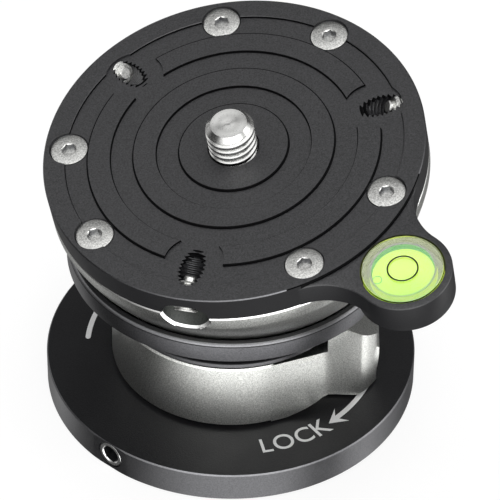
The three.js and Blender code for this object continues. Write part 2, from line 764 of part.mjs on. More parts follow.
// Inner shell that presses the half ball into the cup
function pressureDome() {
  const bore = rodRadius + clearance;
  const footAngle = degrees(Math.acos((domeRadius - domeFootCut) / domeRadius));
  const innerRadius = domeRadius - domeThickness;
  const hubAngle = degrees(Math.asin(domeHubRadius / innerRadius));
  return turned([
    [bore, domeFoot], ...bowl(domeRadius, footAngle, domeToAngle, centreHeight),
    ...bowl(innerRadius, domeToAngle, hubAngle, centreHeight), [domeHubRadius, hubTop], [bore, hubTop],
  ], mediumFacets);
}

// Low-friction liner in the half ball's groove
function slipLiner() {
  const outer = bowl(ballRadius, linerFromAngle, linerToAngle);
  const inner = bowl(ballRadius - linerThickness, linerToAngle, linerFromAngle);
  return turned([...outer, ...inner]);
}

// A named piece of the model
function piece(name, body, material) {
  const mesh = new THREE.Mesh(surface(body), material);
  mesh.name = name;
  return mesh;
}

const model = new THREE.Group();

model.add(piece('base_disc', baseDisc(), blackAnodised));
model.add(piece('tripod_bush', tripodBush(), brass));

const rimScrewBody = grubScrew(rimScrewRadius, rimScrewLength, rimScrewHex, grubPointRadius, grubPointLength);
const rimScrew = piece('rim_set_screw', rimScrewBody, stainless);
const [rimX, rimY] = polar(1, rimScrewAngle);
const rimScrewStart = baseRadius - rimScrewInset;
rimScrew.applyMatrix4(aimed(
  new THREE.Vector3(rimX * rimScrewStart, rimY * rimScrewStart, baseThickness / 2),
  new THREE.Vector3(-rimX, -rimY, 0),
));
model.add(rimScrew);

model.add(piece('seat_cup', seatCup(), blackAnodised));
cupScrewAngles.forEach((angle, k) => {
  const screw = piece(`cup_screw_${k + 1}`, cupScrew(), darkSteel);
  const [x, y] = polar(cupScrewCircle, angle);
  screw.position.set(x, y, 0);
  model.add(screw);
});

model.add(piece('thrust_washer', thrustWasher(), slipPlastic));
model.add(piece('lever_ring', leverRing(), silverAnodised));

model.add(piece('clamp_rod', clampRod(), darkSteel));
const pin = piece('cross_pin', crossPin(), darkSteel);
pin.position.z = pinHeight;
model.add(pin);
model.add(piece('rod_nut', rodNut(), darkSteel));
model.add(piece('spring_washer', springWasher(), darkSteel));
model.add(piece('release_spring', releaseSpring(), darkSteel));
model.add(piece('pressure_dome', pressureDome(), silverAnodised));

// The head leans about the ball's centre; its own Z is the ball's axis.
const head = new THREE.Group();
head.position.z = centreHeight;
head.quaternion.setFromAxisAngle(
  new THREE.Vector3(-Math.sin(radians(restHeading)), Math.cos(radians(restHeading)), 0),
  radians(restLean),
);
model.add(head);

head.add(piece('slip_liner', slipLiner(), slipPlastic));
head.add(piece('half_ball', halfBall(), silverAnodised));
head.add(piece('top_plate', topPlate(), blackAnodised));
head.add(piece('mounting_stud', mountingStud(), stainless));

plateScrewAngles.forEach((angle, k) => {
  const screw = piece(`plate_screw_${k + 1}`, plateScrew(), stainless);
  const [x, y] = polar(plateRadius - plateScrewInset, angle);
  screw.position.set(x, y, 0);
  head.add(screw);
});

const grubBody = grubScrew(grubRadius - clearance / 2, grubLength, grubHex, grubPointRadius, grubPointLength);
holeAngles.forEach((angle, k) => {
  const screw = piece(`grub_screw_${k + 1}`, grubBody, stainless);
  const { mouth, direction } = grubLine(angle);
  const foot = mouth.clone().addScaledVector(direction, grubSink + grubLength);
  screw.applyMatrix4(aimed(foot, direction.clone().negate()));
  head.add(screw);
});

const level = new THREE.Group();
level.position.set(...polar(plateRadius + earReach, earAngle), 0);
level.add(piece('vial_case', vialCase(), acrylic));
level.add(piece('vial_fluid', drum(fluidRadius, fluidBottom, fluidTop, mediumFacets), levelFluid));
level.add(piece('target_ring', targetRing(), printInk));
level.add(piece('vial_lens', vialLens(), acrylic));
head.add(level);

export default model;
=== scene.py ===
"""Dresses a tripod leveling base: fine turned and milled meshes, and their finishes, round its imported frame.

Sizes are real millimetres in the fields of each class and turn into metres where a mesh is made. Pieces of
the leaning head are made about the ball's own axis and are put in place by the head's matrix.
"""

from __future__ import annotations

import json
import logging
import math
from contextlib import contextmanager
from dataclasses import dataclass
from enum import Enum
from typing import Callable, Iterator, Sequence

import bpy
from mathutils import Matrix, Vector

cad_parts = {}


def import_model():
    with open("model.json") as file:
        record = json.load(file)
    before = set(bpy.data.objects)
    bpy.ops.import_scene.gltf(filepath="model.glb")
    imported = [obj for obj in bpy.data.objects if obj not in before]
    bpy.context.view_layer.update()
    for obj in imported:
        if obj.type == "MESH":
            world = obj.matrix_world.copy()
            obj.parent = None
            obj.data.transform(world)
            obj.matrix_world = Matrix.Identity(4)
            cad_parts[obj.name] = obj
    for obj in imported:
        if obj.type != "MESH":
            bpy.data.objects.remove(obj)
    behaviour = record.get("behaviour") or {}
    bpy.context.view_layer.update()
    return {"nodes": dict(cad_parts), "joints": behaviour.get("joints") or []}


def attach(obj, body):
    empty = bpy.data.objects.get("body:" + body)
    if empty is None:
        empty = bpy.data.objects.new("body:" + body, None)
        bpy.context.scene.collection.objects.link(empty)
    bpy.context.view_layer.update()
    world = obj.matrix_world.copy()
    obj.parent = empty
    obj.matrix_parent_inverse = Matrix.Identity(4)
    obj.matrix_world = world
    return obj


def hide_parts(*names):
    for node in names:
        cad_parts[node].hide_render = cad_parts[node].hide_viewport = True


LOG = logging.getLogger("leveling_base")

MM = 0.001
# In millimetres: doubled points closer than this are one, cutters stand out by this, and walls that would
# lie on each other are this far apart
WELD = 0.002
OVERRUN = 1.0
HAIRLINE = 0.004
# In metres: how close to a cutting plane a point counts as lying on it
BISECT = 1e-6
# Facets round a circle, from the plate's rim down to a small screw
FINE = 256
MEDIUM = 96
SMALL = 48
HEXAGON = 6
# The angles of what stands in three places round an axis
THIRDS = (0.0, 120.0, 240.0)
# The most of an edge that a flat at one of its ends takes up
EASED_SHARE = 0.4
# The wave texture draws its rings this many times finer than its scale says
WAVE_SCALE = 20
# The upward part of a face's normal: below the first the face is an upright wall, above the second it is
# flat, and an edge break lies between the first and the third
UPRIGHT = 0.3
FLAT = 0.9
NEARLY_FLAT = 0.95

Point = tuple[float, float]
Outline = list[Point]
Inputs = dict[str, object]


class Body(Enum):
    """The moving bodies that pieces ride on."""

    BASE = "base"
    RIM_SCREW = "rim_screw"
    LEVER = "lever"
    HEAD = "head"
    GRUB_1 = "grub_1"
    GRUB_2 = "grub_2"
    GRUB_3 = "grub_3"


class Slot(Enum):
    """The material slots of the record."""

    BLACK = "black_anodised"
    SILVER = "silver_anodised"
    STAINLESS = "stainless"
    BRASS = "brass"
    PLASTIC = "slip_plastic"
    ACRYLIC = "acrylic"
    FLUID = "level_fluid"
    INK = "print_ink"


class Join(Enum):
    """How one solid is combined with another."""

    ADD = "UNION"
    CUT = "DIFFERENCE"
    KEEP = "INTERSECT"


# Plane geometry, in millimetres


def polar(radius: float, angle: float) -> Point:
    """A point at a radius and an angle in degrees."""
    return radius * math.cos(math.radians(angle)), radius * math.sin(math.radians(angle))


def arc(radius: float, start: float, end: float, centre: Point = (0.0, 0.0), step: float = 3.0) -> Outline:
    """Points of an arc.

    Args:
        radius: The arc's radius.
        start: Its first angle in degrees.
        end: Its last angle in degrees.
        centre: The centre of the arc.
        step: The widest angle between two points.

    Returns:
        The points from start to end, both included.
    """
    count = max(1, math.ceil(abs(end - start) / step))
    places = [polar(radius, start + (end - start) * k / count) for k in range(count + 1)]
    return [(centre[0] + x, centre[1] + y) for x, y in places]


def bowl(radius: float, start: float, end: float, step: float = 1.5) -> Outline:
    """Points of a sphere's profile, by the angle from straight down."""
    return arc(radius, start - 90.0, end - 90.0, step=step)


def eased(profile: Outline, size: float, closed: bool = False, sharpest: float = 30.0) -> Outline:
    """Breaks the sharp corners of an outline with small flats.

    Args:
        profile: The outline's points.
        size: How far along each edge a flat starts.
        closed: Whether the last point joins the first.
        sharpest: The turn in degrees from which a corner counts as sharp.

    Returns:
        The outline with two points for each sharp corner.
    """
    points = [Vector(p) for p in profile]
    count = len(points)
    result: Outline = []
    for k, here in enumerate(points):
        if not closed and k in (0, count - 1):
            result.append(tuple(here))
            continue
        before, after = points[k - 1] - here, points[(k + 1) % count] - here
        turn = 180.0 - math.degrees(before.angle(after))
        if turn < sharpest:
            result.append(tuple(here))
            continue
        for side in (before, after):
            reach = min(size, side.length * EASED_SHARE)
            result.append(tuple(here + side.normalized() * reach))
    return result


# Shaping with Blender's own tools


def activate(piece: bpy.types.Object) -> None:
    """Selects one piece alone and makes it active."""
    bpy.ops.object.select_all(action="DESELECT")
    piece.select_set(True)
    bpy.context.view_layer.objects.active = piece


@contextmanager
def editing(piece: bpy.types.Object, mode: str = "VERT") -> Iterator[None]:
    """Holds a piece in edit mode.

    Args:
        piece: The piece to edit.
        mode: What is selected: VERT, EDGE or FACE.
    """
    activate(piece)
    bpy.ops.object.mode_set(mode="EDIT")
    bpy.ops.mesh.select_mode(type=mode)
    yield
    bpy.ops.object.mode_set(mode="OBJECT")


def settle(piece: bpy.types.Object) -> bpy.types.Object:
    """Puts a piece's place into its mesh, so that its object sits at the origin."""
    activate(piece)
    bpy.ops.object.transform_apply(location=True, rotation=True, scale=True)
    return piece


def placed(piece: bpy.types.Object, matrix: Matrix) -> bpy.types.Object:
    """Moves a settled piece by a matrix in metres and settles it there."""
    piece.matrix_world = matrix
    return settle(piece)


def moved(piece: bpy.types.Object, x: float, y: float, z: float = 0.0) -> bpy.types.Object:
    """Moves a settled piece by millimetres."""
    return placed(piece, Matrix.Translation(Vector((x, y, z)) * MM))


def aimed(origin: Vector, direction: Vector) -> Matrix:
    """The matrix that puts a shape made about Z at a place, with its Z along a direction.

    Args:
        origin: The place, in millimetres.
        direction: Where the shape's Z points.

    Returns:
        The matrix, in metres.
    """
    turn = Vector((0.0, 0.0, 1.0)).rotation_difference(direction)
    return Matrix.Translation(origin * MM) @ turn.to_matrix().to_4x4()


def pick(piece: bpy.types.Object, wanted: Callable[[Vector, Vector], bool]) -> int:
    """Selects faces by their centre and normal.

    Args:
        piece: The piece, in object mode.
        wanted: Says whether a face is taken, from its centre in millimetres and its normal.

    Returns:
        The number of faces selected.
    """
    mesh = piece.data
    for element in (*mesh.vertices, *mesh.edges):
        element.select = False
    for face in mesh.polygons:
        face.select = wanted(face.center / MM, face.normal)
    return sum(face.select for face in mesh.polygons)


def clean(piece: bpy.types.Object) -> None:
    """Welds doubled points and turns all faces outwards."""
    with editing(piece):
        bpy.ops.mesh.select_all(action="SELECT")
        bpy.ops.mesh.remove_doubles(threshold=WELD * MM)
        bpy.ops.mesh.select_all(action="SELECT")
        bpy.ops.mesh.normals_make_consistent(inside=False)


def break_rim(
    piece: bpy.types.Object, size: float, region: Callable[[Vector, Vector], bool],
    kept: Callable[[Vector], bool] = lambda middle: True, segments: int = 1, slot: int = -1,
) -> None:
    """Bevels the outline of a region of faces.

    Args:
        piece: The piece.
        size: The bevel's width, in millimetres.
        region: Picks the faces, from their centre in millimetres and their normal.
        kept: Says whether an edge of the outline is bevelled, from its middle in millimetres.
        segments: The rows of faces in the bevel.
        slot: The index of the bevel's material slot, or -1 for that of the faces beside it.
    """
    pick(piece, region)
    with editing(piece, "FACE"):
        bpy.ops.mesh.region_to_loop()
    mesh = piece.data
    places = [vertex.co / MM for vertex in mesh.vertices]
    middles = [(places[edge.vertices[0]] + places[edge.vertices[1]]) / 2 for edge in mesh.edges]
    chosen = [edge.select and kept(middle) for edge, middle in zip(mesh.edges, middles)]
    for element in (*mesh.vertices, *mesh.edges, *mesh.polygons):
        element.select = False
    for edge, wanted in zip(mesh.edges, chosen):
        if wanted:
            edge.select = True
            for end in edge.vertices:
                mesh.vertices[end].select = True
    with editing(piece, "EDGE"):
        bpy.ops.mesh.bevel(offset=size * MM, segments=segments, profile=0.5, material=slot)


def chain(name: str, points: Sequence[Sequence[float]], closed: bool = False) -> bpy.types.Object:
    """Draws a string of edges by extruding one point from place to place.

    Args:
        name: The piece's name.
        points: The places in millimetres, in order.
        closed: Whether the string comes back to its first place.

    Returns:
        The piece, a wire.
    """
    stops = [Vector((*p, 0.0)[:3]) * MM for p in points]
    if closed:
        stops.append(stops[0])
    bpy.ops.object.select_all(action="DESELECT")
    bpy.ops.mesh.primitive_plane_add(size=MM, location=stops[0])
    piece = bpy.context.object
    piece.name = name
    with editing(piece):
        bpy.ops.mesh.select_all(action="SELECT")
        bpy.ops.mesh.merge(type="CENTER")
        for here, there in zip(stops, stops[1:]):
            bpy.ops.mesh.extrude_vertices_move(TRANSFORM_OT_translate={"value": there - here})
        bpy.ops.mesh.select_all(action="SELECT")
        bpy.ops.mesh.remove_doubles(threshold=WELD * MM)
    return settle(piece)


def turned(name: str, profile: Outline, facets: int = FINE, closed: bool = False) -> bpy.types.Object:
    """Turns a profile round Z, as on a lathe.

    Args:
        name: The piece's name.
        profile: Points of radius and height.
        facets: Steps round the circle.
        closed: Whether the profile is a ring's section, which doesn't reach the axis.

    Returns:
        The turned piece.
    """
    piece = chain(name, [(radius, 0.0, height) for radius, height in profile], closed)
    with editing(piece):
        bpy.ops.mesh.select_all(action="SELECT")
        bpy.ops.mesh.spin(steps=facets, angle=math.tau, center=(0, 0, 0), axis=(0, 0, 1))
    clean(piece)
    return piece


def drum(name: str, radius: float, bottom: float, top: float, facets: int = SMALL) -> bpy.types.Object:
    """A round solid between two heights, for cuts and for turned stock."""
    bpy.ops.object.select_all(action="DESELECT")
    bpy.ops.mesh.primitive_cylinder_add(
        vertices=facets, radius=radius * MM, depth=(top - bottom) * MM,
        location=(0, 0, (top + bottom) / 2 * MM),
    )
    piece = bpy.context.object
    piece.name = name
    return settle(piece)


def hexagon(name: str, flats: float, bottom: float, top: float) -> bpy.types.Object:
    """A hexagonal solid by its width across flats."""
    return drum(name, flats / math.sqrt(3), bottom, top, HEXAGON)


def raised(name: str, outline: Outline, bottom: float, top: float) -> bpy.types.Object:
    """Raises a flat outline between two heights."""
    piece = chain(name, [(x, y, bottom) for x, y in outline], closed=True)
    with editing(piece, "EDGE"):
        bpy.ops.mesh.select_all(action="SELECT")
        bpy.ops.mesh.edge_face_add()
        bpy.ops.mesh.extrude_region_move(TRANSFORM_OT_translate={"value": (0, 0, (top - bottom) * MM)})
    clean(piece)
    return piece


def twin(first: bpy.types.Object, name: str) -> bpy.types.Object:
    """A copy of a piece with its own mesh."""
    piece = first.copy()
    piece.data = first.data.copy()
    bpy.context.scene.collection.objects.link(piece)
    piece.name = name
    return piece


def combine(piece: bpy.types.Object, how: Join, *others: bpy.types.Object) -> bpy.types.Object:
    """Adds, cuts or keeps what a piece shares with others, which are used up.

    Args:
        piece: The piece that stays.
        how: Which of the three it is.
        others: The solids to combine it with; they don't overlap each other.

    Returns:
        The piece.
    """
    tool = others[0]
    if len(others) > 1:
        activate(tool)
        for other in others:
            other.select_set(True)
        bpy.ops.object.join()
    activate(piece)
    step = piece.modifiers.new(how.name.lower(), "BOOLEAN")
    step.object = tool
    step.operation = how.value
    step.solver = "EXACT"
    bpy.ops.object.modifier_apply(modifier=step.name)
    bpy.data.objects.remove(tool)
    return piece


def soften(piece: bpy.types.Object, angle: float = 25.0) -> None:
    """Smooth shading, with edges kept sharp from an angle in degrees."""
    activate(piece)
    bpy.ops.object.shade_smooth_by_angle(angle=math.radians(angle))


@dataclass(frozen=True)
class Thread:
    """A V thread.

    Attributes:
        radius: To the crest.
        pitch: From crest to crest.
        depth: From crest to root.
        crest_share: The flat of the crest, as a share of the pitch.
        root_share: The flat of the root, as a share of the pitch.
    """

    radius: float
    pitch: float
    depth: float
    crest_share: float = 0.14
    root_share: float = 0.18

    def stock(self, name: str, bottom: float, top: float, steps: int = 64) -> bpy.types.Object:
        """A closed threaded rod about Z, cut square at both heights."""
        root, crest = self.radius - self.depth, self.radius
        flank = (1.0 - self.crest_share - self.root_share) / 2
        start = bottom - self.pitch
        risen = self.root_share + flank
        heights = [0.0, self.root_share, risen, risen + self.crest_share, 1.0]
        radii = [root, root, crest, crest, root]
        profile = [(r, 0.0, start + self.pitch * h) for r, h in zip(radii, heights)]
        piece = chain(name, profile)
        screw = piece.modifiers.new("thread", "SCREW")
        screw.axis = "Z"
        screw.angle = math.tau
        screw.screw_offset = self.pitch * MM
        screw.iterations = math.ceil((top - bottom) / self.pitch) + 2
        screw.steps = steps
        screw.render_steps = steps
        bpy.ops.object.modifier_apply(modifier=screw.name)
        clean(piece)
        with editing(piece):
            for height, side in ((bottom, -1.0), (top, 1.0)):
                bpy.ops.mesh.select_all(action="SELECT")
                bpy.ops.mesh.bisect(
                    plane_co=(0, 0, height * MM), plane_no=(0, 0, side), use_fill=True, clear_outer=True,
                    threshold=BISECT,
                )
        clean(piece)
        return piece


# Finishes


def linear(colour: str) -> tuple[float, float, float, float]:
    """The linear colour of an sRGB hex value such as 3a3b3c."""
    parts = [int(colour[k:k + 2], 16) / 255 for k in (0, 2, 4)]
    values = [c / 12.92 if c <= 0.04045 else ((c + 0.055) / 1.055) ** 2.4 for c in parts]
    return (*values, 1.0)


def add_node(
    tree: bpy.types.NodeTree, kind: str, settings: Inputs | None = None, inputs: Inputs | None = None
) -> bpy.types.Node:
    """Adds a node with its settings, values and links.

    Args:
        tree: The node tree.
        kind: The node's type.
        settings: The node's own properties.
        inputs: For each input, a value, or the socket that feeds it.

    Returns:
        The node.
    """
    node = tree.nodes.new(kind)
    for key, value in (settings or {}).items():
        setattr(node, key, value)
    for key, value in (inputs or {}).items():
        if isinstance(value, bpy.types.NodeSocket):
            tree.links.new(value, node.inputs[key])
        else:
            node.inputs[key].default_value = value
    return node


def new_material(name: str) -> tuple[bpy.types.Material, bpy.types.NodeTree]:
    """A material with an empty node tree."""
    material = bpy.data.materials.new(name)
    material.use_nodes = True
    material.node_tree.nodes.clear()
    return material, material.node_tree


def object_points(tree: bpy.types.NodeTree, turn: Matrix | None = None) -> bpy.types.NodeSocket:
    """Object coordinates, centred and turned on a piece.

    Args:
        tree: The node tree.
        turn: The matrix that put the piece in place, in metres, or nothing.

    Returns:
        The mapped coordinates.
    """
    source = add_node(tree, "ShaderNodeTexCoord").outputs["Object"]
    if turn is None:
        return source
    place, rotation, _ = turn.inverted().decompose()
    return add_node(tree, "ShaderNodeMapping", inputs={
        "Vector": source, "Location": place, "Rotation": rotation.to_euler(),
    }).outputs["Vector"]


def cells_per_metre(size: float) -> float:
    """The scale at which a noise pattern has grains of a size in millimetres."""
    return 1.0 / (size * MM)


@dataclass(frozen=True)
class BlastedMetal:
    """Bead-blasted and anodised aluminium: small even pits under a clear or dyed oxide skin.

    Attributes:
        name: The material's name.
        colour: The skin's colour.
        shade: The colour of the pits.
        metallic: How much of the metal's own reflection shows.
        roughness: The blasted surface's roughness.
        grain: The width of a pit, in millimetres.
        relief: How strongly the pits tilt the surface.
        spread: How much the roughness varies in faint clouds.
        sheen_level: The specular level of a dyed skin.
        cloud: The width of a cloud, in grains.
    """

    name: str
    colour: str
    shade: str
    metallic: float
    roughness: float
    grain: float
    relief: float
    spread: float = 0.06
    sheen_level: float = 0.5
    cloud: float = 40.0

    def build(self) -> bpy.types.Material:
        """Makes the material."""
        material, tree = new_material(self.name)
        points = object_points(tree)
        pits = add_node(tree, "ShaderNodeTexNoise", inputs={
            "Vector": points, "Scale": cells_per_metre(self.grain), "Detail": 2.0, "Roughness": 0.6,
        }).outputs["Fac"]
        clouds = add_node(tree, "ShaderNodeTexNoise", inputs={
            "Vector": points, "Scale": cells_per_metre(self.grain * self.cloud), "Detail": 3.0,
        }).outputs["Fac"]
        amount = add_node(tree, "ShaderNodeMapRange", inputs={
            "Value": pits, "From Min": 0.3, "From Max": 0.7,
        }).outputs["Result"]
        colour = add_node(tree, "ShaderNodeMix", {"data_type": "RGBA"}, {
            "Factor": amount, 6: linear(self.shade), 7: linear(self.colour),
        }).outputs[2]
        roughness = add_node(tree, "ShaderNodeMapRange", inputs={
            "Value": clouds, "From Min": 0.3, "From Max": 0.7,
            "To Min": self.roughness - self.spread, "To Max": self.roughness + self.spread,
        }).outputs["Result"]
        bump = add_node(tree, "ShaderNodeBump", inputs={
            "Height": pits, "Strength": self.relief, "Distance": self.grain * 0.5 * MM,
        }).outputs["Normal"]
        surface = add_node(tree, "ShaderNodeBsdfPrincipled", inputs={
            "Base Color": colour, "Metallic": self.metallic, "Roughness": roughness, "Normal": bump,
            "Specular IOR Level": self.sheen_level,
        })
        add_node(tree, "ShaderNodeOutputMaterial", inputs={"Surface": surface.outputs[0]})
        return material


@dataclass(frozen=True)
class TurnedMetal:
    """Metal cut on a lathe: fine rings round its axis, brighter than a blasted face.

    Attributes:
        name: The material's name.
        colour: The metal's colour.
        shade: The colour in the bottoms of the rings.
        roughness: The roughness on the rings' tops.
        feed: How fine the rings are, in millimetres; from ring to ring it is about six times this.
        relief: How strongly the rings tilt the surface.
        place: The matrix that put the piece in place.
        metallic: How much of the metal's own reflection shows.
    """

    name: str
    colour: str
    shade: str
    roughness: float
    feed: float
    relief: float
    place: Matrix | None = None
    metallic: float = 1.0

    def build(self) -> bpy.types.Material:
        """Makes the material."""
        material, tree = new_material(self.name)
        points = object_points(tree, self.place)
        rings = add_node(tree, "ShaderNodeTexWave", {"wave_type": "RINGS", "rings_direction": "Z"}, {
            "Vector": points, "Scale": cells_per_metre(self.feed) / WAVE_SCALE, "Distortion": 0.4,
            "Detail": 1.0,
        }).outputs["Fac"]
        grit = add_node(tree, "ShaderNodeTexNoise", inputs={
            "Vector": points, "Scale": cells_per_metre(self.feed * 1.5), "Detail": 3.0, "Roughness": 0.7,
        }).outputs["Fac"]
        height = add_node(tree, "ShaderNodeMix", inputs={0: 0.5, 2: rings, 3: grit}).outputs[0]
        colour = add_node(tree, "ShaderNodeMix", {"data_type": "RGBA"}, {
            "Factor": height, 6: linear(self.shade), 7: linear(self.colour),
        }).outputs[2]
        roughness = add_node(tree, "ShaderNodeMapRange", inputs={
            "Value": grit, "From Min": 0.3, "From Max": 0.7,
            "To Min": self.roughness - 0.05, "To Max": self.roughness + 0.08,
        }).outputs["Result"]
        bump = add_node(tree, "ShaderNodeBump", inputs={
            "Height": height, "Strength": self.relief, "Distance": self.feed * 0.5 * MM,
        }).outputs["Normal"]
        surface = add_node(tree, "ShaderNodeBsdfPrincipled", inputs={
            "Base Color": colour, "Metallic": self.metallic, "Roughness": roughness, "Normal": bump,
        })
        add_node(tree, "ShaderNodeOutputMaterial", inputs={"Surface": surface.outputs[0]})
        return material


@dataclass(frozen=True)
class Moulded:
    """Plastic, ink or paint: a plain dyed skin with a faint orange peel.

    Attributes:
        name: The material's name.
        colour: Its colour.
        shade: The colour of its faint mottle.
        roughness: How matt it is.
        grain: The width of the peel's waves, in millimetres.
        relief: How strongly they tilt the surface.
    """

    name: str
    colour: str
    shade: str
    roughness: float
    grain: float = 0.4
    relief: float = 0.1

    def build(self) -> bpy.types.Material:
        """Makes the material."""
        material, tree = new_material(self.name)
        points = object_points(tree)
        peel = add_node(tree, "ShaderNodeTexNoise", inputs={
            "Vector": points, "Scale": cells_per_metre(self.grain), "Detail": 2.0,
        }).outputs["Fac"]
        colour = add_node(tree, "ShaderNodeMix", {"data_type": "RGBA"}, {
            "Factor": peel, 6: linear(self.shade), 7: linear(self.colour),
        }).outputs[2]
        bump = add_node(tree, "ShaderNodeBump", inputs={
            "Height": peel, "Strength": self.relief, "Distance": self.grain * 0.1 * MM,
        }).outputs["Normal"]
        surface = add_node(tree, "ShaderNodeBsdfPrincipled", inputs={
            "Base Color": colour, "Roughness": self.roughness, "Normal": bump,
        })
        add_node(tree, "ShaderNodeOutputMaterial", inputs={"Surface": surface.outputs[0]})
        return material


@dataclass(frozen=True)
class ClearAcrylic:
    """Cast acrylic: clear with a faint tint, and polished, so that the fluid shows through it.

    Attributes:
        name: The material's name.
        tint: The colour that thick acrylic takes.
        roughness: Its polish.
        ior: How strongly it bends light.
        transmission: How much light goes through it.
        wave: The width of the polished surface's slow waves, in millimetres.
    """

    name: str
    tint: str
    roughness: float = 0.04
    ior: float = 1.49
    transmission: float = 1.0
    wave: float = 2.0

    def build(self) -> bpy.types.Material:
        """Makes the material."""
        material, tree = new_material(self.name)
        points = object_points(tree)
        waves = add_node(tree, "ShaderNodeTexNoise", inputs={
            "Vector": points, "Scale": cells_per_metre(self.wave), "Detail": 1.0,
        }).outputs["Fac"]
        bump = add_node(tree, "ShaderNodeBump", inputs={
            "Height": waves, "Strength": 0.05, "Distance": 0.05 * MM,
        }).outputs["Normal"]
        surface = add_node(tree, "ShaderNodeBsdfPrincipled", inputs={
            "Base Color": linear(self.tint), "Roughness": self.roughness, "IOR": self.ior,
            "Transmission Weight": self.transmission, "Normal": bump,
        })
        add_node(tree, "ShaderNodeOutputMaterial", inputs={"Surface": surface.outputs[0]})
        return material


@dataclass(frozen=True)
class LevelFluid:
    """The level's dyed fluid: yellow green with a painted glow of its own colour, deeper towards the near
    side.

    Attributes:
        name: The material's name.
        near: The colour at the near side.
        middle: The colour over the middle.
        place: The matrix of the level's own axes.
        radius: The fluid's radius, in millimetres.
        glow: How much of its colour it gives off by itself: a painted glow.
        middle_reach: Where the middle's colour is reached, as a share of the radius beyond the centre.
        cloud_width: The width of its faint clouds, in millimetres.
        cloud_share: How much the clouds shift the colour.
    """

    name: str
    near: str
    middle: str
    place: Matrix
    radius: float
    glow: float
    middle_reach: float = 0.2
    cloud_width: float = 3.0
    cloud_share: float = 0.3

    def build(self) -> bpy.types.Material:
        """Makes the material."""
        material, tree = new_material(self.name)
        points = object_points(tree, self.place)
        clouds = add_node(tree, "ShaderNodeTexNoise", inputs={
            "Vector": points, "Scale": cells_per_metre(self.cloud_width), "Detail": 1.0,
        }).outputs["Fac"]
        parts = add_node(tree, "ShaderNodeSeparateXYZ", inputs={"Vector": points})
        across = add_node(tree, "ShaderNodeMapRange", inputs={
            "Value": parts.outputs["Y"], "From Min": -self.radius * MM,
            "From Max": self.radius * self.middle_reach * MM,
        }).outputs["Result"]
        share = add_node(tree, "ShaderNodeMath", {"operation": "MULTIPLY_ADD"}, {
            0: clouds, 1: self.cloud_share, 2: across,
        }).outputs[0]
        eased_share = add_node(tree, "ShaderNodeMath", {"operation": "SUBTRACT", "use_clamp": True}, {
            0: share, 1: self.cloud_share / 2,
        }).outputs[0]
        colour = add_node(tree, "ShaderNodeMix", {"data_type": "RGBA"}, {
            "Factor": eased_share, 6: linear(self.near), 7: linear(self.middle),
        }).outputs[2]
        surface = add_node(tree, "ShaderNodeBsdfPrincipled", inputs={
            "Base Color": colour, "Roughness": 0.5, "Emission Color": colour, "Emission Strength": self.glow,
        })
        add_node(tree, "ShaderNodeOutputMaterial", inputs={"Surface": surface.outputs[0]})
        return material


def dress(
    piece: bpy.types.Object, body: Body, slot: Slot, material: bpy.types.Material, *nodes: str
) -> bpy.types.Object:
    """Finishes a piece and ties it to the frame.

    Args:
        piece: The settled piece.
        body: The body that it moves with.
        slot: The record's slot of its finish; not used.
        material: Its main material.
        nodes: The frame's nodes that it stands for.

    Returns:
        The piece.
    """
    clean(piece)
    soften(piece)
    if piece.data.materials:
        piece.data.materials[0] = material
    else:
        piece.data.materials.append(material)
    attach(piece, body.value)
    if nodes:
        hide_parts(*nodes)
    LOG.info("%s: %d faces, rides on %s", piece.name, len(piece.data.polygons), body.value)
    return piece


def paint(
    piece: bpy.types.Object, material: bpy.types.Material, wanted: Callable[[Vector, Vector], bool]
) -> None:
    """Gives some faces of a piece a further material, before or after it is dressed.

    Args:
        piece: The piece, in the axes that the test reads.
        material: The further material.
        wanted: Says whether a face takes it, from its centre in millimetres and its normal.
    """
    if not piece.data.materials:
        piece.data.materials.append(None)
    piece.data.materials.append(material)
    last = len(piece.data.materials) - 1
    for face in piece.data.polygons:
        if wanted(face.center / MM, face.normal):
            face.material_index = last


# The head: plate, screws, stud, level and half ball


@dataclass(frozen=True)
class HeadPlace:
    """Where the leaning head stands, read from the frame's joints."""

    matrix: Matrix

    @classmethod
    def of(cls, joints: list[dict]) -> HeadPlace:
        """Reads the ball's centre and the head's axis.

        Args:
            joints: The frame's joints.

        Returns:
            The head's place.
        """
        turn = next(joint for joint in joints if joint["name"] == "ball_turn")
        return cls(aimed(Vector(turn["pos_m"]) / MM, Vector(turn["axis"])))

    def put(self, piece: bpy.types.Object) -> bpy.types.Object:
        """Leans a piece that was made about the ball's axis."""
        return placed(piece, self.matrix)


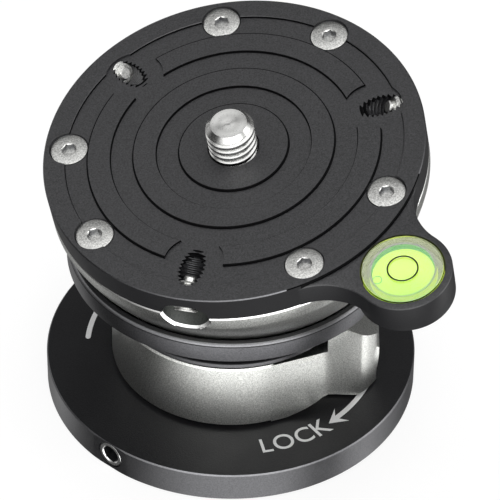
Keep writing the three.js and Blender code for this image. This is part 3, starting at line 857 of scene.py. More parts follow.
@dataclass(frozen=True)
class PlateLayout:
    """What the plate, the half ball and the screws share."""

    radius: float = 37.5
    top: float = -2.17
    thickness: float = 5.73
    recess_depth: float = 0.5
    ear_angle: float = 314.2
    screw_inset: float = 4.85
    screw_offset: float = 20.0
    mouth_inset: float = 8.6
    slope: float = 33.5
    sink: float = 2.5
    grub_length: float = 6.0
    pocket_half_width: float = 4.75
    pocket_half_height: float = 2.9
    pocket_length: float = 8.0

    @property
    def bottom(self) -> float:
        """The underside's height."""
        return self.top - self.thickness

    @property
    def hole_angles(self) -> list[float]:
        """The three slanted holes."""
        return [self.ear_angle + 60.0 + third for third in THIRDS]

    @property
    def screw_places(self) -> list[Point]:
        """The six screws that hold the plate."""
        sides = (-self.screw_offset, self.screw_offset)
        angles = [self.ear_angle + third + side for third in THIRDS for side in sides]
        return [polar(self.radius - self.screw_inset, angle) for angle in angles]

    def slant(self, angle: float) -> tuple[Vector, Vector]:
        """A slanted hole's mouth and its direction outwards and down."""
        x, y = polar(1.0, angle)
        slope = math.radians(self.slope)
        direction = Vector((x * math.cos(slope), y * math.cos(slope), -math.sin(slope)))
        reach = self.radius - self.mouth_inset
        return Vector((x * reach, y * reach, self.top)), direction

    def pocket(self, name: str, angle: float) -> bpy.types.Object:
        """The oval pocket in the rim at a slanted hole's lower end, as a cutter."""
        mouth, direction = self.slant(angle)
        along = self.sink + self.grub_length
        side = Vector((*polar(1.0, angle + 90.0), 0.0))
        rise = direction.cross(side)
        cutter = drum(name, 1.0, 0.0, self.pocket_length, MEDIUM)
        across, upward = side * self.pocket_half_width, rise * self.pocket_half_height
        axes = Matrix((across, upward, direction)).transposed()
        return placed(cutter, Matrix.Translation((mouth + direction * along) * MM) @ axes.to_4x4())


@dataclass
class TopPlate:
    """The round plate with its turned steps and the ear that carries the level."""

    place: HeadPlace
    layout: PlateLayout
    material: bpy.types.Material
    edge_material: bpy.types.Material
    wall_material: bpy.types.Material
    step_shade_paint: bpy.types.Material
    edge: float = 0.2
    step_edge: float = 0.1
    shade_strip: float = 0.24
    rim_width: float = 4.28
    recess_width: float = 4.34
    pad_width: float = 4.67
    stud_well: float = 5.08
    stud_well_depth: float = 1.2
    recess_radius: float = 5.8
    recess_inset: float = 9.2
    ear_reach: float = 8.3
    ear_radius: float = 9.45
    ear_fillet: float = 12.0
    ear_step: float = 2.0
    ear_top: float = -2.9
    ear_edge: float = 0.4
    ear_span: float = 0.88
    boss_drop: float = 1.9
    boss_gap: float = 0.3
    boss_floor: float = 1.2
    boss_inset: float = 0.03
    vial_well: float = 8.12
    head_well: float = 3.9
    shank_well: float = 2.3
    head_sink: float = 0.45
    head_height: float = 1.9
    head_wall: float = 0.2
    hole_rise: float = 6.0
    hole_thread: Thread = Thread(2.55, 0.8, 0.5)

    def steps(self) -> Outline:
        """The turned steps from the rim to the middle, with a narrow strip on each pad's outer edge for a
        painted shade line.
        """
        low = self.layout.top - self.layout.recess_depth
        points: Outline = []
        radius = self.layout.radius - self.rim_width
        for k, width in enumerate((self.recess_width, self.pad_width) * 3):
            outer, inner = (self.layout.top, low) if k % 2 == 0 else (low, self.layout.top)
            points += [(radius, outer), (radius, inner)]
            if inner > outer:
                points.append((radius - self.shade_strip, inner))
            radius -= width
        whole = [(self.layout.radius, self.layout.top), *points, (0.0, self.layout.top)]
        return eased(whole, self.step_edge)[1:-1]

    def disc(self) -> bpy.types.Object:
        """The plate without its ear."""
        radius, top, bottom = self.layout.radius, self.layout.top, self.layout.bottom
        well = top - self.stud_well_depth
        profile = [
            (0.0, bottom), (radius - self.edge, bottom), (radius, bottom + self.edge),
            (radius, top - self.edge), (radius - self.edge, top), *self.steps(),
            (self.stud_well, top), (self.stud_well, well), (0.0, well),
        ]
        return turned("plate_with_ear", profile)

    def ear_outline(self) -> Outline:
        """The ear's outline along +X, with hollow fillets towards the disc."""
        disc, ear = self.layout.radius, self.layout.radius + self.ear_reach
        to_fillet = disc + self.ear_fillet
        from_ear = self.ear_radius + self.ear_fillet
        cosine = (to_fillet ** 2 + ear ** 2 - from_ear ** 2) / (2 * to_fillet * ear)
        at_disc = math.degrees(math.acos(cosine))
        centre = polar(to_fillet, at_disc)
        towards_ear = math.degrees(math.atan2(centre[1], centre[0] - ear))
        nose = arc(self.ear_radius, -towards_ear, towards_ear, (ear, 0.0), self.ear_step)
        fillet = arc(self.ear_fillet, towards_ear - 180.0, at_disc - 180.0, centre, self.ear_step)
        upper = fillet[1:]
        lower = [(x, -y) for x, y in reversed(upper)]
        inner = disc - self.rim_width
        return [polar(inner, -at_disc / 2), *lower, *nose, *upper, polar(inner, at_disc / 2)]

    def ear(self) -> bpy.types.Object:
        """The ear, with its upper edge broken and the level's boss under it, turned to its place."""
        bottom = self.layout.bottom
        piece = raised("ear", self.ear_outline(), bottom + HAIRLINE, self.ear_top)
        break_rim(piece, self.ear_edge, lambda centre, normal: normal.z > FLAT, segments=2)
        boss_radius = self.ear_radius - self.boss_inset
        boss = moved(
            drum("vial_boss", boss_radius, bottom - self.boss_drop, bottom + self.ear_edge, FINE),
            self.layout.radius + self.ear_reach, 0.0,
        )
        reach = self.layout.radius + self.boss_gap
        room = drum("ball_room", reach, bottom - self.boss_drop - OVERRUN, bottom, FINE)
        combine(boss, Join.CUT, room)
        combine(piece, Join.ADD, boss)
        return placed(piece, Matrix.Rotation(math.radians(self.layout.ear_angle), 4, "Z"))

    def screw_well(self, x: float, y: float) -> bpy.types.Object:
        """A countersunk hole for one of the plate's screws."""
        top, bottom = self.layout.top, self.layout.bottom
        head = top - self.head_sink
        profile = [
            (0.0, bottom - OVERRUN), (self.shank_well, bottom - OVERRUN),
            (self.shank_well, head - self.head_height), (self.head_well, head - self.head_wall),
            (self.head_well, top + OVERRUN), (0.0, top + OVERRUN),
        ]
        return moved(turned("screw_well", profile, MEDIUM), x, y)

    def slanted_hole(self, angle: float) -> bpy.types.Object:
        """A threaded hole down through the plate."""
        mouth, direction = self.layout.slant(angle)
        length = self.layout.sink + self.layout.grub_length + OVERRUN
        hole = self.hole_thread.stock("slanted_hole", -self.hole_rise, length, SMALL)
        return placed(hole, aimed(mouth, direction))

    def build(self) -> bpy.types.Object:
        """Makes the plate: the holes are cut while the disc is still plain, and the ear comes after them."""
        piece = self.disc()
        low = self.layout.top - self.layout.recess_depth + HAIRLINE
        reach = self.layout.radius - self.recess_inset
        for angle in self.layout.hole_angles:
            combine(piece, Join.CUT, self.layout.pocket("pocket", angle))
            combine(piece, Join.CUT, self.slanted_hole(angle))
            recess = drum("recess", self.recess_radius, low, self.layout.top + OVERRUN, FINE)
            combine(piece, Join.CUT, moved(recess, *polar(reach, angle)))
        combine(piece, Join.ADD, self.ear())
        ear = polar(self.layout.radius + self.ear_reach, self.layout.ear_angle)
        floor = self.layout.bottom - self.boss_drop + self.boss_floor
        well = drum("vial_well", self.vial_well, floor, self.layout.top + OVERRUN, FINE)
        combine(piece, Join.CUT, moved(well, *ear))
        for x, y in self.layout.screw_places:
            combine(piece, Join.CUT, self.screw_well(x, y))
        rim = self.layout.radius - self.edge - HAIRLINE
        brink = self.layout.top - self.edge
        # The rim's upper chamfer takes the grey turned black as a painted highlight
        paint(
            piece, self.edge_material,
            lambda c, n: UPRIGHT < n.z < NEARLY_FLAT and c.xy.length > rim and c.z > brink,
        )
        # The plate's upright wall and the ear's side take a darker black as painted shade
        paint(piece, self.wall_material, lambda c, n: abs(n.z) < UPRIGHT and c.xy.length > rim)
        # The walls of steps, recesses and holes, the strips on the pads' edges and the plate's edge over the
        # ear take painted shade
        paint(piece, self.step_shade_paint, self.in_step)
        paint(piece, self.step_shade_paint, self.on_pad_edge)
        paint(piece, self.step_shade_paint, self.above_ear)
        self.place.put(piece)
        return dress(piece, Body.HEAD, Slot.BLACK, self.material, "top_plate")

    def in_step(self, centre: Vector, normal: Vector) -> bool:
        """Whether a face is the wall of a step, a recess or a hole inside the rim, which takes painted shade.
        """
        inside = self.layout.radius - self.rim_width + HAIRLINE
        foot = self.layout.top - self.stud_well_depth
        return abs(normal.z) < FLAT and centre.xy.length < inside and centre.z > foot

    def on_pad_edge(self, centre: Vector, normal: Vector) -> bool:
        """Whether a face is the strip along a pad's outer edge that takes a painted shade line."""
        pair = self.recess_width + self.pad_width
        first = self.layout.radius - self.rim_width - self.recess_width
        if normal.z < FLAT or abs(centre.z - self.layout.top) > HAIRLINE / 2:
            return False
        return any(0.0 < first - pair * k - centre.xy.length < self.shade_strip for k in range(3))

    def above_ear(self, centre: Vector, normal: Vector) -> bool:
        """Whether a face is the plate's edge where the ear joins it, a little lower, which takes painted
        shade.
        """
        ear = Vector(polar(1.0, self.layout.ear_angle))
        beside = centre.xy.normalized().dot(ear) > self.ear_span
        inner, outer = self.layout.radius - self.edge - HAIRLINE, self.layout.radius + HAIRLINE
        on_edge = inner < centre.xy.length < outer and abs(normal.z) < NEARLY_FLAT
        return beside and on_edge and centre.z > self.ear_top


@dataclass
class PlateScrews:
    """Six flat-head screws that hold the plate to the half ball."""

    place: HeadPlace
    layout: PlateLayout
    material: bpy.types.Material
    wall_material: bpy.types.Material
    sink: float = 0.45
    head_radius: float = 3.65
    head_height: float = 1.9
    shank_radius: float = 2.0
    length: float = 11.0
    socket: float = 2.6
    socket_depth: float = 1.1
    socket_flare: float = 0.2
    head_wall: float = 0.3
    edge: float = 0.3
    twist: float = 17.0

    def model(self) -> bpy.types.Object:
        """One screw about Z."""
        top = self.layout.top - self.sink
        profile = eased([
            (0.0, top - self.length), (self.shank_radius, top - self.length),
            (self.shank_radius, top - self.head_height), (self.head_radius, top - self.head_wall),
            (self.head_radius, top), (0.0, top),
        ], self.edge)
        piece = turned("plate_screw", profile, MEDIUM)
        hexed = hexagon("socket", self.socket, top - self.socket_depth, top + OVERRUN)
        combine(piece, Join.CUT, hexed)
        point = self.socket / 2
        flare = turned("flare", [
            (0.0, top - self.socket_flare), (point, top - self.socket_flare),
            (point + self.socket_flare + OVERRUN, top + OVERRUN), (0.0, top + OVERRUN),
        ], SMALL)
        combine(piece, Join.CUT, flare)
        corner = self.socket / math.sqrt(3) + HAIRLINE
        brink = top - self.socket_depth
        # The socket's walls take the darker steel as painted shade
        paint(
            piece, self.wall_material,
            lambda c, n: abs(n.z) < UPRIGHT and c.xy.length < corner and c.z > brink,
        )
        return piece

    def build(self) -> list[bpy.types.Object]:
        """Makes the six screws, each with its own mesh."""
        first = self.model()
        pieces = []
        for k, (x, y) in enumerate(self.layout.screw_places, start=1):
            piece = twin(first, f"flat_head_screw_{k}")
            twist = Matrix.Rotation(math.radians(self.twist * k), 4, "Z")
            placed(piece, Matrix.Translation(Vector((x, y, 0.0)) * MM) @ twist)
            self.place.put(piece)
            pieces.append(dress(piece, Body.HEAD, Slot.STAINLESS, self.material, f"plate_screw_{k}"))
        bpy.data.objects.remove(first)
        return pieces


@dataclass
class MountingStud:
    """The threaded stud on the plate."""

    place: HeadPlace
    layout: PlateLayout
    material: bpy.types.Material
    end_material: bpy.types.Material
    thread: Thread = Thread(4.76, 1.5875, 0.72, 0.4, 0.1)
    height: float = 7.0
    tip_radius: float = 3.57
    head_radius: float = 9.0
    head_thickness: float = 2.2
    head_gap: float = 0.3
    shank_radius: float = 4.26
    groove: float = 0.24
    groove_depth: float = 0.03
    tip_rise: float = 0.15
    thread_foot: float = 0.9
    overlap: float = 0.4

    def end_face(self, top: float) -> Outline:
        """The turned end face, as shallow grooves from its edge to the middle."""
        count = int(self.tip_radius / self.groove)
        points: Outline = []
        for k in range(count):
            radius = self.tip_radius - self.groove * k
            points += [(radius, top), (radius - self.groove / 2, top - self.groove_depth)]
        return [*points, (0.0, top)]

    def build(self) -> bpy.types.Object:
        """Makes the stud with its head under the plate."""
        top = self.layout.top + self.height
        foot = self.layout.top - self.thread_foot
        head = self.layout.bottom - self.head_gap
        slope = self.thread.radius - self.tip_radius + self.tip_rise
        envelope = turned("stud_envelope", [
            (0.0, foot), (self.thread.radius + OVERRUN, foot),
            (self.thread.radius + OVERRUN, top - slope - OVERRUN), (self.tip_radius, top),
            *self.end_face(top)[1:],
        ], MEDIUM * 2)
        piece = self.thread.stock("threaded_stud", foot - OVERRUN, top + OVERRUN)
        combine(piece, Join.KEEP, envelope)
        lower = turned("stud_shank", [
            (0.0, head - self.head_thickness), (self.head_radius, head - self.head_thickness),
            (self.head_radius, head), (self.shank_radius, head), (self.shank_radius, foot + self.overlap),
            (0.0, foot + self.overlap),
        ], MEDIUM)
        combine(piece, Join.ADD, lower)
        inner, brink = self.tip_radius + self.groove_depth, top - self.groove_depth * 2
        paint(piece, self.end_material, lambda c, n: c.xy.length < inner and c.z > brink)
        self.place.put(piece)
        return dress(piece, Body.HEAD, Slot.STAINLESS, self.material, "mounting_stud")


@dataclass
class GrubScrews:
    """Three slanted grub screws with dog points, which keep a camera head from turning off the stud."""

    place: HeadPlace
    layout: PlateLayout
    material: bpy.types.Material
    thread: Thread = Thread(2.4, 0.8, 0.42)
    point_radius: float = 1.3
    point_length: float = 1.0
    socket: float = 2.5
    socket_depth: float = 3.0
    edge: float = 0.4
    point_edge: float = 0.25
    spare: float = 0.2
    tail: float = 0.7
    bodies: tuple[Body, ...] = (Body.GRUB_1, Body.GRUB_2, Body.GRUB_3)

    def model(self) -> bpy.types.Object:
        """One grub screw about Z: the socket at the bottom, a little into the pocket, the point on top."""
        length = self.layout.grub_length
        start = -self.tail
        shoulder = length - self.point_length
        radius = self.thread.radius
        outside = radius + self.spare
        slope = self.edge + self.spare
        envelope = turned("grub_envelope", [
            (0.0, start), (radius - self.edge, start), (outside, start + slope),
            (outside, shoulder - slope), (radius - self.edge, shoulder),
            (self.point_radius, shoulder), (self.point_radius, length - self.point_edge),
            (self.point_radius - self.point_edge, length), (0.0, length),
        ], SMALL)
        piece = self.thread.stock("grub_screw", start - OVERRUN, length + OVERRUN, SMALL)
        combine(piece, Join.KEEP, envelope)
        return combine(piece, Join.CUT, hexagon("socket", self.socket, start - OVERRUN, self.socket_depth))

    def build(self) -> list[bpy.types.Object]:
        """Makes the three screws."""
        first = self.model()
        pieces = []
        for k, (body, angle) in enumerate(zip(self.bodies, self.layout.hole_angles), start=1):
            mouth, direction = self.layout.slant(angle)
            foot = mouth + direction * (self.layout.sink + self.layout.grub_length)
            piece = twin(first, f"dog_point_screw_{k}")
            placed(piece, self.place.matrix @ aimed(foot, -direction))
            pieces.append(dress(piece, body, Slot.STAINLESS, self.material, f"grub_screw_{k}"))
        bpy.data.objects.remove(first)
        return pieces


@dataclass
class BubbleLevel:
    """The round level in the ear: a clear block with a pale back, the fluid, bubble, ring and lens."""

    place: HeadPlace
    layout: PlateLayout
    clear: bpy.types.Material
    back: bpy.types.Material
    fluid_material: bpy.types.Material
    wall_material: bpy.types.Material
    bubble_material: bpy.types.Material
    ink: bpy.types.Material
    reach: float = 45.8
    radius: float = 7.8
    bottom: float = -8.3
    top: float = -2.8
    edge: float = 0.12
    lens_thickness: float = 0.5
    lens_gap: float = 0.01
    fluid_radius: float = 6.45
    fluid_wall: float = 0.45
    fluid_floor: float = -5.8
    fluid_top: float = -3.4
    fluid_thickness: float = 0.9
    fluid_taper: float = 0.08
    ring_radius: float = 3.04
    ring_line: float = 0.3
    ring_thickness: float = 0.05
    bubble_radius: float = 0.95
    bubble_line: float = 0.16
    bubble_place: Point = (-5.0, -0.9)

    def seat(self, piece: bpy.types.Object) -> bpy.types.Object:
        """Moves a piece made about Z into the ear."""
        moved(piece, *polar(self.reach, self.layout.ear_angle))
        return self.place.put(piece)

    def block(self) -> bpy.types.Object:
        """The clear block, whose underside is painted pale."""
        top = self.top - self.lens_thickness - self.lens_gap
        piece = turned("level_block", [
            (0.0, self.bottom), (self.radius, self.bottom), (self.radius, top), (0.0, top),
        ], MEDIUM * 2)
        paint(piece, self.back, lambda c, n: n.z < -FLAT)
        return piece

    def lens(self) -> bpy.types.Object:
        """The clear disc over the block."""
        foot = self.top - self.lens_thickness
        return turned("level_lens", [
            (0.0, foot), (self.radius, foot), (self.radius, self.top - self.edge),
            (self.radius - self.edge, self.top), (0.0, self.top),
        ], MEDIUM * 2)

    def fluid(self) -> bpy.types.Object:
        """The fluid's bright floor and the green wall round it."""
        inner = self.fluid_radius - self.fluid_wall
        foot = self.fluid_floor - self.fluid_thickness
        piece = turned("level_liquid", [
            (0.0, foot), (self.fluid_radius, foot), (self.fluid_radius, self.fluid_top),
            (inner, self.fluid_top), (inner - self.fluid_taper, self.fluid_floor), (0.0, self.fluid_floor),
        ], MEDIUM * 2)
        paint(piece, self.wall_material, lambda c, n: abs(n.z) < UPRIGHT and n.xy.dot(c.xy) < 0.0)
        paint(piece, self.back, lambda c, n: n.z > FLAT and c.xy.length > inner)
        return piece

    def ring(self, name: str, radius: float, line: float, foot: float) -> bpy.types.Object:
        """A thin ring: the printed target, or the bubble's outline."""
        return turned(name, [
            (radius - line, foot), (radius, foot),
            (radius, foot + self.ring_thickness), (radius - line, foot + self.ring_thickness),
        ], MEDIUM, closed=True)

    def build(self) -> list[bpy.types.Object]:
        """Makes the level's pieces."""
        target = self.ring("level_ring", self.ring_radius, self.ring_line, self.top)
        bubble = self.ring("level_bubble", self.bubble_radius, self.bubble_line, self.fluid_floor + HAIRLINE)
        moved(bubble, *self.bubble_place)
        return [
            dress(self.seat(self.block()), Body.HEAD, Slot.ACRYLIC, self.clear, "vial_case"),
            dress(self.seat(self.lens()), Body.HEAD, Slot.ACRYLIC, self.clear, "vial_lens"),
            dress(self.seat(self.fluid()), Body.HEAD, Slot.FLUID, self.fluid_material, "vial_fluid"),
            dress(self.seat(bubble), Body.HEAD, Slot.FLUID, self.bubble_material),
            dress(self.seat(target), Body.HEAD, Slot.INK, self.ink, "target_ring"),
        ]


@dataclass
class HalfBall:
    """The hollow half ball under the plate."""

    place: HeadPlace
    layout: PlateLayout
    material: bpy.types.Material
    edge_material: bpy.types.Material
    pocket_shade_paint: bpy.types.Material
    radius: float = 38.997
    wall: float = 5.0
    band_drop: float = 10.7
    band_edge: float = 0.35
    opening_angle: float = 25.0
    bore: float = 28.5
    groove_depth: float = 0.9
    groove_from: float = 26.7
    groove_to: float = 37.3
    pocket_edge: float = 0.45
    edge_tilt: float = 0.2
    plate_gap: float = 0.02
    pocket_spare: float = 0.3

    def build(self) -> bpy.types.Object:
        """Makes the half ball."""
        top = self.layout.bottom - self.plate_gap
        plate = self.layout.radius
        inner = self.radius - self.wall
        band = math.degrees(math.atan2(plate, self.band_drop))
        bore = math.degrees(math.asin(self.bore / inner))
        groove = self.radius - self.groove_depth
        profile = [
            *bowl(self.radius, self.opening_angle, self.groove_from),
            *bowl(groove, self.groove_from, self.groove_to),
            *bowl(self.radius, self.groove_to, band),
            (plate, top - self.band_edge), (plate - self.band_edge, top), (self.bore, top),
            *bowl(inner, bore, self.opening_angle),
        ]
        piece = turned("silver_half_ball", profile, closed=True)
        combine(piece, Join.CUT, *[self.layout.pocket("pocket", angle) for angle in self.layout.hole_angles])
        clean(piece)
        # The pockets' walls take painted shade
        paint(piece, self.pocket_shade_paint, self.in_pocket)
        outside, brink = plate - self.pocket_edge * 3, top - self.band_edge
        paint(piece, self.edge_material, lambda c, n: c.z > brink and self.edge_tilt < n.z < NEARLY_FLAT)
        break_rim(
            piece, self.pocket_edge, self.in_pocket,
            kept=lambda middle: middle.xy.length > outside and middle.z < brink, slot=2,
        )
        self.place.put(piece)
        return dress(piece, Body.HEAD, Slot.SILVER, self.material, "half_ball")

    def in_pocket(self, centre: Vector, normal: Vector) -> bool:
        """Whether a face, in the head's own axes, is a wall of one of the pockets."""
        if centre.z < -self.radius / 2:
            return False
        for angle in self.layout.hole_angles:
            mouth, direction = self.layout.slant(angle)
            along = (centre - mouth).dot(direction)
            across = centre - mouth - direction * along
            reach = self.layout.pocket_half_width + self.pocket_spare
            near = along > self.layout.sink and across.length < reach
            inward = normal.dot(across) < -across.length / 2
            if near and inward and abs(normal.dot(direction)) < UPRIGHT / 3:
                return True
        return False


# The base: disc, print, rim screw, seat cup and lever


@dataclass
class BaseDisc:
    """The round base with its column, its printed arrow and word, and the flat for the rim screw."""

    material: bpy.types.Material
    side_material: bpy.types.Material
    edge_material: bpy.types.Material
    print_material: bpy.types.Material
    radius: float = 37.3
    thickness: float = 6.5
    top_edge: float = 0.25
    bottom_edge: float = 0.15
    column_radius: float = 16.8
    column_top: float = 19.0
    rod_well_radius: float = 4.6
    rod_well_floor: float = 10.8
    pin_slot_half: float = 2.3
    pin_slot_floor: float = 13.3
    cup_screw_circle: float = 11.4
    cup_screw_radius: float = 1.8
    cup_screw_foot: float = 10.7
    bush_radius: float = 6.55
    bush_depth: float = 8.8
    rim_screw_angle: float = 230.3
    rim_flat_width: float = 8.2
    rim_hole_radius: float = 2.95
    rim_hole_depth: float = 12.0
    print_height: float = 0.04
    arrow_radius: float = 29.1
    arrow_growth: float = 0.6
    arrow_width: float = 1.05
    arrow_start: float = 176.2
    arrow_end: float = -44.0
    arrow_step: float = 3.0
    cap_step: float = 20.0
    arrow_tip: Point = (19.7, -22.4)
    arrow_barbs: tuple[Point, Point] = ((20.9, -18.2), (23.7, -21.5))
    letter_radius: float = 29.6
    letter_heights: tuple[float, ...] = (3.7, 4.0, 4.0, 4.0)
    letter_angles: tuple[float, ...] = (284.3, 291.2, 299.7, 307.6)
    letter_weight: float = 0.005
    letter_depth: float = 0.005
    word: str = "LOCK"

    def disc(self) -> bpy.types.Object:
        """The disc with its column."""
        profile = [
            (0.0, 0.0), (self.radius - self.bottom_edge, 0.0), (self.radius, self.bottom_edge),
            (self.radius, self.thickness - self.top_edge), (self.radius - self.top_edge, self.thickness),
            (self.column_radius, self.thickness), (self.column_radius, self.column_top),
            (0.0, self.column_top),
        ]
        piece = turned("round_base", profile)
        high = self.column_top + OVERRUN
        combine(piece, Join.CUT, drum("rod_well", self.rod_well_radius, self.rod_well_floor, high))
        half, reach = self.pin_slot_half, self.column_radius + OVERRUN
        slot = [(-half, -reach), (half, -reach), (half, reach), (-half, reach)]
        combine(piece, Join.CUT, raised("pin_slot", slot, self.pin_slot_floor, high))
        for angle in THIRDS:
            hole = drum("cup_screw_hole", self.cup_screw_radius, self.cup_screw_foot, high)
            combine(piece, Join.CUT, moved(hole, *polar(self.cup_screw_circle, angle)))
        bush = drum("bush_well", self.bush_radius, -OVERRUN, self.bush_depth, MEDIUM)
        distance = math.sqrt(self.radius ** 2 - (self.rim_flat_width / 2) ** 2)
        far = distance + self.rim_flat_width
        outline = [
            (distance, -self.rim_flat_width), (far, -self.rim_flat_width),
            (far, self.rim_flat_width), (distance, self.rim_flat_width),
        ]
        flat = raised("rim_flat", outline, -OVERRUN, self.thickness + OVERRUN)
        placed(flat, Matrix.Rotation(math.radians(self.rim_screw_angle), 4, "Z"))
        combine(piece, Join.CUT, flat, bush)
        x, y = polar(1.0, self.rim_screw_angle)
        mouth = Vector((x * self.radius, y * self.radius, self.thickness / 2))
        hole = drum("rim_hole", self.rim_hole_radius, -OVERRUN, self.rim_hole_depth)
        placed(hole, aimed(mouth, Vector((-x, -y, 0.0))))
        return combine(piece, Join.CUT, hole)

    def arrow_side(self, offset: float) -> Outline:
        """One long side of the arrow, whose radius grows a little towards its head."""
        span = self.arrow_end - self.arrow_start
        count = math.ceil(abs(span) / self.arrow_step)
        shares = [k / count for k in range(count + 1)]
        radius = self.arrow_radius + offset
        return [
            polar(radius + self.arrow_growth * share, self.arrow_start + span * share) for share in shares
        ]

    def arrow(self) -> bpy.types.Object:
        """The printed arrow that runs round the base clockwise."""
        half = self.arrow_width / 2
        outer, inner = self.arrow_side(half), self.arrow_side(-half)[::-1]
        start = polar(self.arrow_radius, self.arrow_start)
        cap = arc(half, self.arrow_start + 180.0, self.arrow_start, start, self.cap_step)[1:-1]
        outline = [*outer, self.arrow_barbs[1], self.arrow_tip, self.arrow_barbs[0], *inner, *cap]
        return raised("lock_arrow", outline, self.thickness, self.thickness + self.print_height)

    def letter(self, character: str, angle: float, height: float) -> bpy.types.Object:
        """One printed capital with its head towards the middle."""
        bpy.ops.object.select_all(action="DESELECT")
        bpy.ops.object.text_add()
        text = bpy.context.object.data
        text.body = character
        text.offset = self.letter_weight
        text.extrude = self.letter_depth
        bpy.ops.object.convert(target="MESH")
        piece = bpy.context.object
        piece.name = f"letter_{character}"
        low = Vector([min(v.co[k] for v in piece.data.vertices) for k in range(3)])
        high = Vector([max(v.co[k] for v in piece.data.vertices) for k in range(3)])
        middle = (low + high) / 2
        scale = height / (high.y - low.y)
        size = Vector((scale, scale, self.print_height / (high.z - low.z))) * MM
        shape = Matrix.Diagonal((*size, 1.0)) @ Matrix.Translation((-middle.x, -middle.y, -low.z))
        x, y = polar(self.letter_radius, angle)
        turn = Matrix.Rotation(math.radians(angle + 90.0), 4, "Z")
        return placed(piece, Matrix.Translation(Vector((x, y, self.thickness)) * MM) @ turn @ shape)

    def build(self) -> list[bpy.types.Object]:
        """Makes the base and its print."""
        base = dress(self.disc(), Body.BASE, Slot.BLACK, self.material, "base_disc")
        rim = self.radius - self.top_edge - HAIRLINE
        middle = self.column_radius * 2
        paint(base, self.side_material, lambda c, n: abs(n.z) < UPRIGHT and c.xy.length > middle)
        # The upper chamfer takes a painted highlight
        paint(base, self.edge_material, lambda c, n: UPRIGHT < n.z < NEARLY_FLAT and c.xy.length > rim)
        marks = [self.arrow(), *map(self.letter, self.word, self.letter_angles, self.letter_heights)]
        for mark in marks:
            dress(mark, Body.BASE, Slot.PLASTIC, self.print_material)
        return [base, *marks]


@dataclass
class RimScrew:
    """The set screw in the base's rim."""

    material: bpy.types.Material
    wall_material: bpy.types.Material
    angle: float = 230.3
    start: float = 36.9
    height: float = 3.25
    radius: float = 2.87
    length: float = 8.0
    socket: float = 3.4
    socket_depth: float = 3.5
    flare: float = 0.1
    edge: float = 0.25
    point: float = 1.0

    def build(self) -> bpy.types.Object:
        """Makes the screw."""
        piece = turned("rim_cup_screw", [
            (0.0, 0.0), (self.radius - self.edge, 0.0), (self.radius, self.edge),
            (self.radius, self.length - self.point), (self.radius - self.point, self.length),
            (0.0, self.length),
        ], MEDIUM)
        combine(piece, Join.CUT, hexagon("socket", self.socket, -OVERRUN, self.socket_depth))
        corner = self.socket / math.sqrt(3)
        mouth = corner + self.flare
        combine(piece, Join.CUT, turned("flare", [
            (0.0, -OVERRUN), (mouth + OVERRUN, -OVERRUN), (mouth - self.flare * 2, self.flare * 2),
            (0.0, self.flare * 2),
        ], SMALL))
        # The inside of the socket takes the darker steel as painted shade
        paint(piece, self.wall_material, lambda c, n: c.xy.length < corner and c.z > self.flare)
        x, y = polar(1.0, self.angle)
        placed(piece, aimed(Vector((x * self.start, y * self.start, self.height)), Vector((-x, -y, 0.0))))
        return dress(piece, Body.RIM_SCREW, Slot.STAINLESS, self.material, "rim_set_screw")


@dataclass
class SeatCup:
    """The black cup that the half ball sits in."""

    material: bpy.types.Material
    rim_material: bpy.types.Material
    side_material: bpy.types.Material
    edge_material: bpy.types.Material
    centre: float
    seat_radius: float = 39.297
    bottom: float = 19.1
    rod_hole: float = 4.6
    spigot_radius: float = 16.8
    flange_bottom: float = 23.95
    flange_thickness: float = 1.0
    flange_radius: float = 25.0
    neck_radius: float = 22.5
    rim_top: float = 37.1967
    rim_height: float = 4.2
    rim_width: float = 1.64
    rim_chamfer: float = 0.5
    edge: float = 0.12

    def build(self) -> bpy.types.Object:
        """Makes the cup."""
        mouth = math.sqrt(self.seat_radius ** 2 - (self.centre - self.rim_top) ** 2)
        rim = mouth + self.rim_width
        rim_bottom = self.rim_top - self.rim_height
        brink = self.rim_top - self.rim_chamfer
        first = math.degrees(math.asin(self.rod_hole / self.seat_radius))
        last = math.degrees(math.asin(mouth / self.seat_radius))
        seat = [(r, h + self.centre) for r, h in bowl(self.seat_radius, last, first)]
        profile = eased([
            (self.rod_hole, self.bottom), (self.spigot_radius, self.bottom),
            (self.spigot_radius, self.flange_bottom), (self.flange_radius, self.flange_bottom),
            (self.flange_radius, self.flange_bottom + self.flange_thickness),
            (self.neck_radius, self.flange_bottom + self.flange_thickness),
            (mouth - self.rim_width, rim_bottom), (rim, rim_bottom), (rim, brink),
            (rim - self.rim_chamfer, self.rim_top), *seat,
        ], self.edge, closed=True)
        piece = turned("black_seat_cup", profile, closed=True)
        dress(piece, Body.BASE, Slot.BLACK, self.material, "seat_cup")
        inside = self.spigot_radius + OVERRUN
        paint(
            piece, self.side_material,
            lambda c, n: n.z < UPRIGHT and n.xy.dot(c.xy) > 0.0 and c.xy.length > inside,
        )
        paint(piece, self.rim_material, lambda c, n: abs(n.z) < UPRIGHT and c.xy.length > rim - self.edge)
        # The rim's upper chamfer takes a painted highlight
        paint(piece, self.edge_material, lambda c, n: UPRIGHT < n.z < NEARLY_FLAT and c.z > brink)
        return piece


